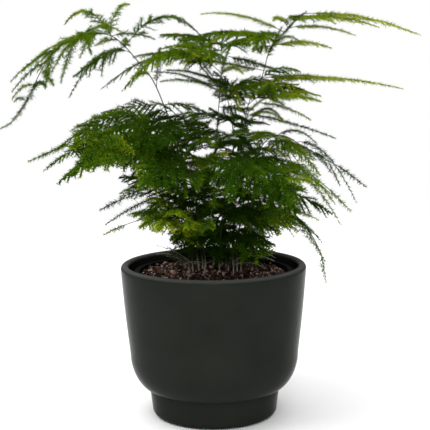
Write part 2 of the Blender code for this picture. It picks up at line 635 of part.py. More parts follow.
def keep_largest(mesh):
    """Leave only the largest body of a mesh."""
    work = bmesh.new()
    work.from_mesh(mesh)
    work.verts.ensure_lookup_table()
    seen, bodies = set(), []
    for start in work.verts:
        if start.index in seen:
            continue
        body, edge = {start}, [start]
        while edge:
            vertex = edge.pop()
            for link in vertex.link_edges:
                other = link.other_vert(vertex)
                if other not in body:
                    body.add(other)
                    edge.append(other)
        seen |= {vertex.index for vertex in body}
        bodies.append(body)
    bodies.sort(key=len, reverse=True)
    for body in bodies[1:]:
        bmesh.ops.delete(work, geom=list(body), context="VERTS")
    bmesh.ops.triangulate(work, faces=work.faces)
    work.to_mesh(mesh)
    work.free()


def make_fronds(group, still):
    """Every frond as one body, its leaflets kept clear of the fronds, pots and soil already made."""
    paths, ribs = grow()
    lines, stems, cores = {}, {}, {}
    for name, path in paths.items():
        whole = np.linalg.norm(np.diff(path, axis=0), axis=1).sum()
        surface = (SOIL_TOP - STEM_FOOT) / whole
        stem = along(path, np.linspace(surface, STEM_SHARE, PATH_POINTS))
        above = even_steps(stem, 2 + round(whole * (STEM_SHARE - surface) / STEM_STEP))
        lines[name] = np.vstack([path[:1], above])
        stems[name] = stem_tube(name, lines[name], group)
        leaf = make_material(name.replace("frond", "foliage"), FRONDS[name][0], 0.6)
        stems[name].data.materials.append(leaf)
        tip = along(path, np.linspace(TIP_SHARE, 1.0, RIB_POINTS))
        ribs[name].append((tip, TIP_WIDTH * MM))
        cores[name] = [object_tree(stems[name])]
        for rib, width in ribs[name]:
            vertices, faces, _ = make_blade(rib[0], rib, width, np.zeros((8, 2)), swell=MARGIN)
            cores[name].append(tree_of(vertices, faces))
    finished = list(still)
    spare = make_collection("spray_meshes")
    for name, stem in stems.items():
        elsewhere = finished + [tree for frond in cores if frond != name for tree in cores[frond]]
        for i, (rib, width) in enumerate(ribs[name]):
            own = [tree for k, tree in enumerate(cores[name]) if k != i + 1]
            length = np.linalg.norm(np.diff(rib, axis=0), axis=1).sum()
            count = max(3, round(length * (1 - BARE_SHARE) / LEAFLET_STEP))
            line = lines[name]
            dense = along(line, np.linspace(0.0, 1.0, 20 * len(line)))
            root = dense[np.argmin(((dense - rib[0]) ** 2).sum(axis=1))]
            vertices, faces = clear_leaflets(root, rib, width, count, elsewhere + own)
            add_mesh("%s_spray_%d" % (name, i), vertices, faces, spare)
            cores[name][i + 1] = tree_of(vertices, faces)
        fuse(stem, spare)
        finished.append(object_tree(stem))
    bpy.data.collections.remove(spare)


def build():
    """Make the whole plant in its pots."""
    clear_scene()
    parts = make_collection("potted_asparagus_fern")
    drains = make_collection("drain_cutters")
    holes = make_collection("stem_hole_cutters")
    pot = make_pot(parts)
    liner = make_liner(parts, drains)
    make_soil(parts, holes)
    bpy.context.view_layer.update()
    make_fronds(parts, [object_tree(pot), object_tree(liner)])


build()
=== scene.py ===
import math

import bpy
import numpy as np
from mathutils import Matrix


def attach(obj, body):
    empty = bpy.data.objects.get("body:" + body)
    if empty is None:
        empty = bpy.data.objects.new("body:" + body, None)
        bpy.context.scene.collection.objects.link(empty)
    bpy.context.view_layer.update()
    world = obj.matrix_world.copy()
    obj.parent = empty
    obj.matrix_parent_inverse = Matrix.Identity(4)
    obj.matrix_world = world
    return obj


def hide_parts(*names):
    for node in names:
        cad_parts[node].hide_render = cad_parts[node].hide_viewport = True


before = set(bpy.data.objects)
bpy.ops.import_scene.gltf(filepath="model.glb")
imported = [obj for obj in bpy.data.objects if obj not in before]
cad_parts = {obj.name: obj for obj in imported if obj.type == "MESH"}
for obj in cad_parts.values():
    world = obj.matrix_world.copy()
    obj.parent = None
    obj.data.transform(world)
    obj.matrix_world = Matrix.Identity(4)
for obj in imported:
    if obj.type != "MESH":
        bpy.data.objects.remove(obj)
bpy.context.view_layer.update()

# Studio. A wide pale floor under a white sky that gives little light of its own. One very wide soft
# lamp overhead does most of the lighting, with a smaller one high on the left and a tall strip in front.
scene = bpy.context.scene
scene.view_settings.view_transform = "Standard"

FLOOR_REACH = 1.4


def put_mesh(name, points, triangles, smooth=True):
    """A mesh object from an array of points and an array of corner numbers, three to a face."""
    mesh = bpy.data.meshes.new(name)
    mesh.vertices.add(len(points))
    mesh.vertices.foreach_set("co", np.asarray(points, np.float32).ravel())
    mesh.loops.add(3 * len(triangles))
    mesh.loops.foreach_set("vertex_index", np.asarray(triangles, np.int32).ravel())
    mesh.polygons.add(len(triangles))
    mesh.polygons.foreach_set("loop_start", np.arange(0, 3 * len(triangles), 3, dtype=np.int32))
    mesh.polygons.foreach_set("use_smooth", np.broadcast_to(smooth, len(triangles)).astype(bool))
    mesh.update(calc_edges=True)
    piece = bpy.data.objects.new(name, mesh)
    scene.collection.objects.link(piece)
    return piece


def grid_triangles(rows, columns, closed):
    """Two triangles for each cell of a grid of points, rows by columns. A closed grid joins its last
    column to its first."""
    across = columns if closed else columns - 1
    row, column = (a.ravel() for a in np.meshgrid(np.arange(rows - 1), np.arange(across), indexing="ij"))
    a, b = row * columns + column, row * columns + (column + 1) % columns
    c, d = a + columns, b + columns
    return np.concatenate([np.stack([a, b, d], 1), np.stack([a, d, c], 1)])


def new_material(name):
    """A node material with its shader, ready for a pattern."""
    material = bpy.data.materials.new(name)
    material.use_nodes = True
    tree = material.node_tree
    return material, tree, tree.nodes["Principled BSDF"]


floor_x, floor_y = np.meshgrid(np.linspace(-FLOOR_REACH, FLOOR_REACH, 2),
                               np.linspace(-FLOOR_REACH, FLOOR_REACH, 2))
floor_points = np.stack([floor_x.ravel(), floor_y.ravel(), np.zeros(4)], 1)
floor = put_mesh("studio_floor", floor_points, grid_triangles(2, 2, False))
paper, tree, shader = new_material("studio_paper")
shader.inputs["Base Color"].default_value = (0.92, 0.92, 0.92, 1.0)
shader.inputs["Roughness"].default_value = 0.9
shader.inputs["Specular IOR Level"].default_value = 0.1
floor.data.materials.append(paper)

world = bpy.data.worlds.new("studio_light")
scene.world = world
world.use_nodes = True
sky = world.node_tree.nodes["Background"]
sky.inputs["Color"].default_value = (1.0, 1.0, 1.0, 1.0)
seen = world.node_tree.nodes.new("ShaderNodeLightPath").outputs["Is Camera Ray"]
strength = world.node_tree.nodes.new("ShaderNodeMapRange")
strength.inputs["To Min"].default_value, strength.inputs["To Max"].default_value = 0.25, 1.0
world.node_tree.links.new(seen, strength.inputs["Value"])
world.node_tree.links.new(strength.outputs["Result"], sky.inputs["Strength"])


def soft_lamp(name, place, target, width, height, power):
    """A soft rectangular lamp at a place, turned towards a target."""
    light = bpy.data.lights.new(name, "AREA")
    light.shape = "RECTANGLE"
    light.size, light.size_y, light.energy = width, height, power
    lamp = bpy.data.objects.new(name, light)
    scene.collection.objects.link(lamp)
    ahead = np.array(target) - np.array(place)
    ahead = ahead / np.linalg.norm(ahead)
    right = np.cross(ahead, [0.0, 0.01, 1.0])
    right = right / np.linalg.norm(right)
    turn = np.eye(4)
    turn[:3, 0], turn[:3, 1], turn[:3, 2], turn[:3, 3] = right, np.cross(right, ahead), -ahead, place
    lamp.matrix_world = Matrix(turn.tolist())
    return lamp


soft_lamp("top_lamp", (0.0, 0.1, 2.2), (0.0, 0.1, 0.0), 5.0, 5.0, 134)
soft_lamp("key_lamp", (-0.9, -0.35, 1.9), (0.0, 0.0, 0.2), 0.9, 0.9, 20)
soft_lamp("front_strip", (-0.1, -2.0, 0.75), (0.0, 0.0, 0.1), 0.4, 1.2, 11)

# Camera where the photograph was taken from: 1.08 m in front, 8 degrees down, very slightly rolled.
CAMERA_PLACE, CAMERA_DOWN, CAMERA_ROLL, CAMERA_LENS = (0.0, -1.083, 0.3584), 8.0, -0.553, 89.78
camera_data = bpy.data.cameras.new("photo_camera")
camera_data.sensor_width = 36.0
camera_data.lens = CAMERA_LENS
camera_data.shift_x = 0.0047
camera = bpy.data.objects.new("photo_camera", camera_data)
scene.collection.objects.link(camera)
camera.matrix_world = (Matrix.Translation(CAMERA_PLACE)
                       @ Matrix.Rotation(math.radians(90.0 - CAMERA_DOWN), 4, "X")
                       @ Matrix.Rotation(math.radians(CAMERA_ROLL), 4, "Z"))
scene.camera = camera


# Ceramic pot. One thrown and fired piece: a round lip, a nearly straight wall, a round belly and a
# narrower foot, under a matt glaze of a very dark green grey.
MM = 0.001
POT_TOP, LIP_R, LIP = 156.75, 95.0, 4.3
WALL_R, BELLY_TOP, BULGE = 86.8, 65.3, 0.6
CREASE_R, CREASE_Z, FOOT_R, FOOT_EDGE = 67.1, 28.4, 64.6, 6.0
POT_THICK, POT_FLOOR = 7.0, 9.0
POT_STEPS = 96


def arc(centre_r, centre_z, radius, start, end, count):
    """Points on a circle: centre plus radius times the cosine and sine of angles in degrees."""
    angle = np.radians(np.linspace(start, end, count))
    return np.stack([centre_r + radius * np.cos(angle), centre_z + radius * np.sin(angle)], 1)


def belly(radius, foot, top, bottom, count):
    """Belly of the pot: over a quarter turn, radius falls as cos^1.25 and height as sin."""
    a = np.linspace(0, np.pi / 2, count)
    return np.stack([foot + (radius - foot) * np.cos(a).clip(0) ** 1.25,
                     top - (top - bottom) * np.sin(a)], 1)


def turned(outline, steps):
    """Surface of revolution: each point of the outline, radius and height, carried round Z. The two
    points on the axis become one vertex each, so both poles are closed."""
    angle = np.arange(steps) * 2 * np.pi / steps
    ring = outline[1:-1]
    x = ring[:, :1] * np.cos(angle)
    y = ring[:, :1] * np.sin(angle)
    z = np.broadcast_to(ring[:, 1:], x.shape)
    body = np.stack([x, y, z], 2).reshape(-1, 3)
    first, last = len(body), len(body) + 1
    points = np.vstack([body, [[0, 0, outline[0, 1]], [0, 0, outline[-1, 1]]]])
    k = np.arange(steps)
    fan_first = np.stack([np.full(steps, first), k, (k + 1) % steps], 1)
    end = (len(ring) - 1) * steps
    fan_last = np.stack([np.full(steps, last), end + (k + 1) % steps, end + k], 1)
    return points, np.concatenate([grid_triangles(len(ring), steps, True)[:, ::-1], fan_first, fan_last])


def add_node(tree, kind, **values):
    """A shader node with its settings and its unlinked inputs set."""
    node = tree.nodes.new(kind)
    for key, value in values.items():
        if hasattr(node, key):
            setattr(node, key, value)
        else:
            node.inputs[key.replace("_", " ")].default_value = value
    return node


def add_ramp(tree, source, stops):
    """A colour ramp over stops of (place, red, green, blue)."""
    ramp = tree.nodes.new("ShaderNodeValToRGB")
    while len(ramp.color_ramp.elements) < len(stops):
        ramp.color_ramp.elements.new(0.5)
    for element, (place, *colour) in zip(ramp.color_ramp.elements, stops):
        element.position = place
        element.color = (*colour, 1.0)
    tree.links.new(source, ramp.inputs["Fac"])
    return ramp.outputs["Color"]


lip_r = LIP_R - LIP
lip_z = POT_TOP - LIP
wall_z = np.linspace(lip_z, BELLY_TOP, 10)[1:-1]
wall_share = (lip_z - wall_z) / (lip_z - BELLY_TOP)
wall = np.stack([LIP_R + (WALL_R - LIP_R) * wall_share + BULGE * np.sin(np.pi * wall_share), wall_z], 1)
inner_wall = np.stack([np.linspace(WALL_R - POT_THICK, lip_r - LIP, 4)[1:-1],
                       np.linspace(BELLY_TOP, lip_z, 4)[1:-1]], 1)
inside = belly(WALL_R - POT_THICK, CREASE_R - POT_THICK, BELLY_TOP, CREASE_Z + POT_THICK, 9)[::-1]
pot_outline = np.vstack([
    [[0, POT_FLOOR], [CREASE_R - POT_THICK - 4, POT_FLOOR]],
    arc(CREASE_R - POT_THICK - 4, POT_FLOOR + 3, 3, -60, 0, 4) + [1, 0],
    inside, inner_wall,
    arc(lip_r, lip_z, LIP, 180, 0, 15),
    wall,
    belly(WALL_R, CREASE_R, BELLY_TOP, CREASE_Z, 22),
    arc(CREASE_R - 0.2, CREASE_Z - 1.2, 0.5, 40, -10, 3),
    np.stack([np.linspace(CREASE_R - 0.1, FOOT_R, 4)[1:], np.linspace(CREASE_Z - 2, FOOT_EDGE, 4)[1:]], 1),
    arc(FOOT_R - FOOT_EDGE, FOOT_EDGE, FOOT_EDGE, -8, -90, 10),
    [[0, 0]],
])
pot_points, pot_faces = turned(pot_outline, POT_STEPS)
pot = put_mesh("ceramic_pot", pot_points * MM, pot_faces)

# The glaze: a cloudy drift of shade, with a fine grain and slow waves that blur its faint gloss. Over
# the top of the lip its colour is mixed to a lighter grey green: a painted highlight.
LIP_HIGHLIGHT_START, LIP_HIGHLIGHT_FULL = 0.1535, 0.1562
glaze, tree, shader = new_material("matt_glaze")
where = add_node(tree, "ShaderNodeTexCoord").outputs["Object"]
clouds = add_node(tree, "ShaderNodeTexNoise", Scale=22.0, Detail=5.0, Roughness=0.6)
tree.links.new(where, clouds.inputs["Vector"])
colour = add_ramp(tree, clouds.outputs["Fac"], [(0.3, 0.0135, 0.0160, 0.0125),
                                                (0.7, 0.0172, 0.0198, 0.0158)])
height = add_node(tree, "ShaderNodeSeparateXYZ")
tree.links.new(where, height.inputs["Vector"])
# Painted highlight: from this height up, the colour turns lighter over the top of the lip.
lip_highlight_share = add_node(tree, "ShaderNodeMapRange", From_Min=LIP_HIGHLIGHT_START, From_Max=LIP_HIGHLIGHT_FULL)
tree.links.new(height.outputs["Z"], lip_highlight_share.inputs["Value"])
lip_highlight_mix = add_node(tree, "ShaderNodeMix", data_type="RGBA")
tree.links.new(lip_highlight_share.outputs["Result"], lip_highlight_mix.inputs["Factor"])
tree.links.new(colour, lip_highlight_mix.inputs["A"])
lip_highlight_mix.inputs["B"].default_value = (0.066, 0.070, 0.063, 1.0)
tree.links.new(lip_highlight_mix.outputs["Result"], shader.inputs["Base Color"])
grain = add_node(tree, "ShaderNodeTexNoise", Scale=900.0, Detail=3.0)
tree.links.new(where, grain.inputs["Vector"])
waves = add_node(tree, "ShaderNodeTexNoise", Scale=45.0, Detail=2.0)
tree.links.new(where, waves.inputs["Vector"])
gloss = add_node(tree, "ShaderNodeMapRange", From_Min=0.3, From_Max=0.7, To_Min=0.20, To_Max=0.28)
tree.links.new(grain.outputs["Fac"], gloss.inputs["Value"])
tree.links.new(gloss.outputs["Result"], shader.inputs["Roughness"])
fine = add_node(tree, "ShaderNodeBump", Strength=0.05, Distance=0.0004)
tree.links.new(grain.outputs["Fac"], fine.inputs["Height"])
broad = add_node(tree, "ShaderNodeBump", Strength=0.10, Distance=0.0010)
tree.links.new(waves.outputs["Fac"], broad.inputs["Height"])
tree.links.new(fine.outputs["Normal"], broad.inputs["Normal"])
tree.links.new(broad.outputs["Normal"], shader.inputs["Normal"])
shader.inputs["Specular IOR Level"].default_value = 0.02
pot.data.materials.append(glaze)
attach(pot, "root")
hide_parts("pot")


# Nursery pot. The thin black plastic pot that the plant is sold in: moulded in one piece, with a
# turned-over rim and drain holes, and simply stood inside the ceramic pot.
LINER_BASE, LINER_TOP, LINER_RIM, LINER_RIM_Z = 53.0, 77.0, 82.0, 149.5
LINER_LIP, LINER_THICK, LINER_FLOOR = 5.0, 1.2, 9.3
DRAIN_R, DRAIN_CIRCLE, DRAINS = 5.0, 38.0, 4

under_rim = LINER_RIM_Z - LINER_THICK
wall_up = np.linspace(0, 1, 3)[:, None]
inner_foot = np.array([[LINER_BASE - LINER_THICK, LINER_FLOOR + LINER_THICK]])
inner_top = np.array([[LINER_TOP - LINER_THICK, LINER_RIM_Z - 1.0]])
outer_top = np.array([[LINER_TOP, under_rim]])
outer_foot = np.array([[LINER_BASE, LINER_FLOOR]])
liner_outline = np.vstack([
    [[0, LINER_FLOOR + LINER_THICK]],
    inner_foot + (inner_top - inner_foot) * wall_up,
    arc(LINER_TOP - LINER_THICK + 1, LINER_RIM_Z - 1, 1, 160, 90, 4),
    arc(LINER_RIM - 1.2, LINER_RIM_Z - 1.2, 1.2, 90, 0, 5),
    [[LINER_RIM, LINER_RIM_Z - LINER_LIP], [LINER_RIM - LINER_THICK, LINER_RIM_Z - LINER_LIP]],
    [[LINER_RIM - LINER_THICK, under_rim]],
    outer_top + (outer_foot - outer_top) * wall_up,
    [[0, LINER_FLOOR]],
])
liner_points, liner_faces = turned(liner_outline, 80)
liner = put_mesh("black_nursery_pot", liner_points * MM, liner_faces)
drains = []
for i in range(DRAINS):
    turn = 2 * math.pi * (i + 0.5) / DRAINS
    drill_outline = np.array([[0, LINER_FLOOR + 3], [DRAIN_R, LINER_FLOOR + 3], [DRAIN_R, LINER_FLOOR - 2],
                              [0, LINER_FLOOR - 2]])
    drill_points, drill_faces = turned(drill_outline, 24)
    middle = [DRAIN_CIRCLE * math.cos(turn), DRAIN_CIRCLE * math.sin(turn), 0.0]
    drill = put_mesh("drain_drill", (drill_points + middle) * MM, drill_faces[:, ::-1])
    cut = liner.modifiers.new("Drain hole", "BOOLEAN")
    cut.operation, cut.object, cut.solver = "DIFFERENCE", drill, "EXACT"
    drains.append(drill)
cut_mesh = bpy.data.meshes.new_from_object(liner.evaluated_get(bpy.context.evaluated_depsgraph_get()))
liner.modifiers.clear()
liner.data = cut_mesh
for drill in drains:
    bpy.data.objects.remove(drill, do_unlink=True)

plastic, tree, shader = new_material("black_moulded_plastic")
where = add_node(tree, "ShaderNodeTexCoord").outputs["Object"]
dust = add_node(tree, "ShaderNodeTexNoise", Scale=160.0, Detail=4.0)
tree.links.new(where, dust.inputs["Vector"])
colour = add_ramp(tree, dust.outputs["Fac"], [(0.45, 0.002, 0.002, 0.002), (0.75, 0.007, 0.005, 0.005)])
tree.links.new(colour, shader.inputs["Base Color"])
shader.inputs["Roughness"].default_value = 0.6
shader.inputs["Specular IOR Level"].default_value = 0.03
liner.data.materials.clear()
liner.data.materials.append(plastic)
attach(liner, "root")
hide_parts("nursery_pot")


# Potting mix. Dark peat with crumbs of bark and a few pale specks of perlite, loosely filled to a
# low dome a little below the rim. The crumbs lie in it and on it, and are part of the same piece.
SOIL_EDGE, SOIL_DOME, SOIL_BOTTOM = 146.0, 3.0, 10.8
SOIL_RINGS, SOIL_TURN, CLODS, CRUMBS, PALE_SHARE = 48, 130, 620, 1200, 0.06
SOIL_SHADE, CRUMB_SHADE, PALE_SHADE = 0.19, 0.62, 0.9
rng = np.random.default_rng(11)


def liner_inside(height):
    """Inner radius of the nursery pot at a height, less a hair: it tapers evenly from rim to base."""
    share = (height - LINER_FLOOR) / (under_rim - LINER_FLOOR)
    return LINER_BASE + (LINER_TOP - LINER_BASE) * share - LINER_THICK - 0.3


def clod_height(x, y, clods):
    """Height of the lumpy surface: a low dome, plus the tallest of many small round clods at each
    point, each clod a paraboloid of its own place, radius and height."""
    dome = SOIL_EDGE + SOIL_DOME * (1 - (x ** 2 + y ** 2) / soil_r ** 2)
    near = ((x[:, None] - clods[:, 0]) ** 2 + (y[:, None] - clods[:, 1]) ** 2) / clods[:, 2] ** 2
    return dome + (clods[:, 3] * (1 - near)).max(axis=1).clip(-0.6)


soil_r = liner_inside(SOIL_EDGE)
clod_r = 1.3 + 3.2 * rng.random(CLODS) ** 2
clod_at = soil_r * 0.98 * np.sqrt(rng.random(CLODS))
clod_turn = rng.random(CLODS) * 2 * np.pi
clods = np.stack([clod_at * np.cos(clod_turn), clod_at * np.sin(clod_turn), clod_r,
                  clod_r * (0.25 + 0.35 * rng.random(CLODS))], 1)
ring_r = soil_r * np.linspace(0, 1, SOIL_RINGS)[1:]
turn = np.arange(SOIL_TURN) * 2 * np.pi / SOIL_TURN
top_x, top_y = (ring_r[:, None] * np.cos(turn)).ravel(), (ring_r[:, None] * np.sin(turn)).ravel()
top_z = clod_height(top_x, top_y, clods)
rim_ring = slice(len(top_z) - SOIL_TURN, None)
top_z[rim_ring] = np.minimum(top_z[rim_ring], SOIL_EDGE + 0.5)
base_r = liner_inside(SOIL_BOTTOM)
soil_points = np.vstack([
    np.stack([top_x, top_y, top_z], 1),
    np.stack([base_r * np.cos(turn), base_r * np.sin(turn), np.full(SOIL_TURN, SOIL_BOTTOM)], 1),
    [[0, 0, clod_height(np.zeros(1), np.zeros(1), clods)[0]], [0, 0, SOIL_BOTTOM]],
])
k, top_middle = np.arange(SOIL_TURN), SOIL_RINGS * SOIL_TURN
soil_faces = np.concatenate([
    grid_triangles(SOIL_RINGS, SOIL_TURN, True)[:, ::-1],
    np.stack([np.full(SOIL_TURN, top_middle), k, (k + 1) % SOIL_TURN], 1),
    np.stack([np.full(SOIL_TURN, top_middle + 1), top_middle - SOIL_TURN + (k + 1) % SOIL_TURN,
              top_middle - SOIL_TURN + k], 1),
])

# A crumb is a ball of twenty faces, squeezed and dented at random and turned any way.
golden = (1 + 5 ** 0.5) / 2
ball = np.array([[-1, golden, 0], [1, golden, 0], [-1, -golden, 0], [1, -golden, 0], [0, -1, golden],
                 [0, 1, golden], [0, -1, -golden], [0, 1, -golden], [golden, 0, -1], [golden, 0, 1],
                 [-golden, 0, -1], [-golden, 0, 1]]) / math.hypot(1, golden)
ball_faces = np.array([[0, 11, 5], [0, 5, 1], [0, 1, 7], [0, 7, 10], [0, 10, 11], [1, 5, 9], [5, 11, 4],
                       [11, 10, 2], [10, 7, 6], [7, 1, 8], [3, 9, 4], [3, 4, 2], [3, 2, 6], [3, 6, 8],
                       [3, 8, 9], [4, 9, 5], [2, 4, 11], [6, 2, 10], [8, 6, 7], [9, 8, 1]])
crumb_at = (soil_r - 2.0) * np.sqrt(rng.random(CRUMBS))
crumb_turn = rng.random(CRUMBS) * 2 * np.pi
pale = rng.random(CRUMBS) < PALE_SHARE
size = np.where(pale, 0.45 + 0.5 * rng.random(CRUMBS), 0.6 + 1.7 * rng.random(CRUMBS) ** 2)
squeeze = size[:, None] * np.stack([1 + 1.2 * rng.random(CRUMBS) * ~pale, 0.6 + 0.5 * rng.random(CRUMBS),
                                    0.4 + 0.5 * rng.random(CRUMBS)], 1)
turns = np.linalg.qr(rng.normal(size=(CRUMBS, 3, 3)))[0]
turns[:, :, 2] *= np.sign(np.linalg.det(turns))[:, None]
shape = ball * (0.8 + 0.4 * rng.random((CRUMBS, 12, 1))) * squeeze[:, None, :]
crumb_x, crumb_y = crumb_at * np.cos(crumb_turn), crumb_at * np.sin(crumb_turn)
crumb_z = clod_height(crumb_x, crumb_y, clods) + 0.25 * size
crumb_points = shape @ turns.transpose(0, 2, 1) + np.stack([crumb_x, crumb_y, crumb_z], 1)[:, None, :]
crumb_faces = ball_faces + 12 * np.arange(CRUMBS)[:, None, None] + len(soil_points)

soil = put_mesh("potting_mix", np.vstack([soil_points, crumb_points.reshape(-1, 3)]) * MM,
                np.vstack([soil_faces, crumb_faces.reshape(-1, 3)]),
                np.concatenate([np.ones(len(soil_faces), bool), np.zeros(20 * CRUMBS, bool)]))
crumb_shade = np.where(pale, PALE_SHADE + 0.1 * rng.random(CRUMBS), CRUMB_SHADE * rng.random(CRUMBS) ** 1.7)
shade = np.concatenate([np.full(len(soil_points), SOIL_SHADE), np.repeat(crumb_shade, len(ball))])
soil.data.attributes.new("shade", "FLOAT", "POINT").data.foreach_set("value", shade.astype(np.float32))
peat, tree, shader = new_material("peat_and_bark")
where = add_node(tree, "ShaderNodeTexCoord").outputs["Object"]
own_shade = add_node(tree, "ShaderNodeAttribute", attribute_name="shade").outputs["Fac"]
mottle = add_node(tree, "ShaderNodeTexNoise", Scale=420.0, Detail=6.0, Roughness=0.7)
tree.links.new(where, mottle.inputs["Vector"])
spread = add_node(tree, "ShaderNodeMapRange", From_Min=0.3, From_Max=0.7, To_Min=-0.28, To_Max=0.28)
tree.links.new(mottle.outputs["Fac"], spread.inputs["Value"])
mixed = add_node(tree, "ShaderNodeMath", operation="ADD")
tree.links.new(own_shade, mixed.inputs[0])
tree.links.new(spread.outputs["Result"], mixed.inputs[1])
colour = add_ramp(tree, mixed.outputs["Value"], [(0.0, 0.006, 0.004, 0.003), (0.26, 0.046, 0.023, 0.016),
                                                 (0.58, 0.520, 0.335, 0.255), (0.9, 0.80, 0.72, 0.66)])
tree.links.new(colour, shader.inputs["Base Color"])
shader.inputs["Roughness"].default_value = 0.95
shader.inputs["Specular IOR Level"].default_value = 0.15
rough = add_node(tree, "ShaderNodeBump", Strength=0.6, Distance=0.0006)
tree.links.new(mottle.outputs["Fac"], rough.inputs["Height"])
tree.links.new(rough.outputs["Normal"], shader.inputs["Normal"])
soil.data.materials.append(peat)
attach(soil, "root")
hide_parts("soil")
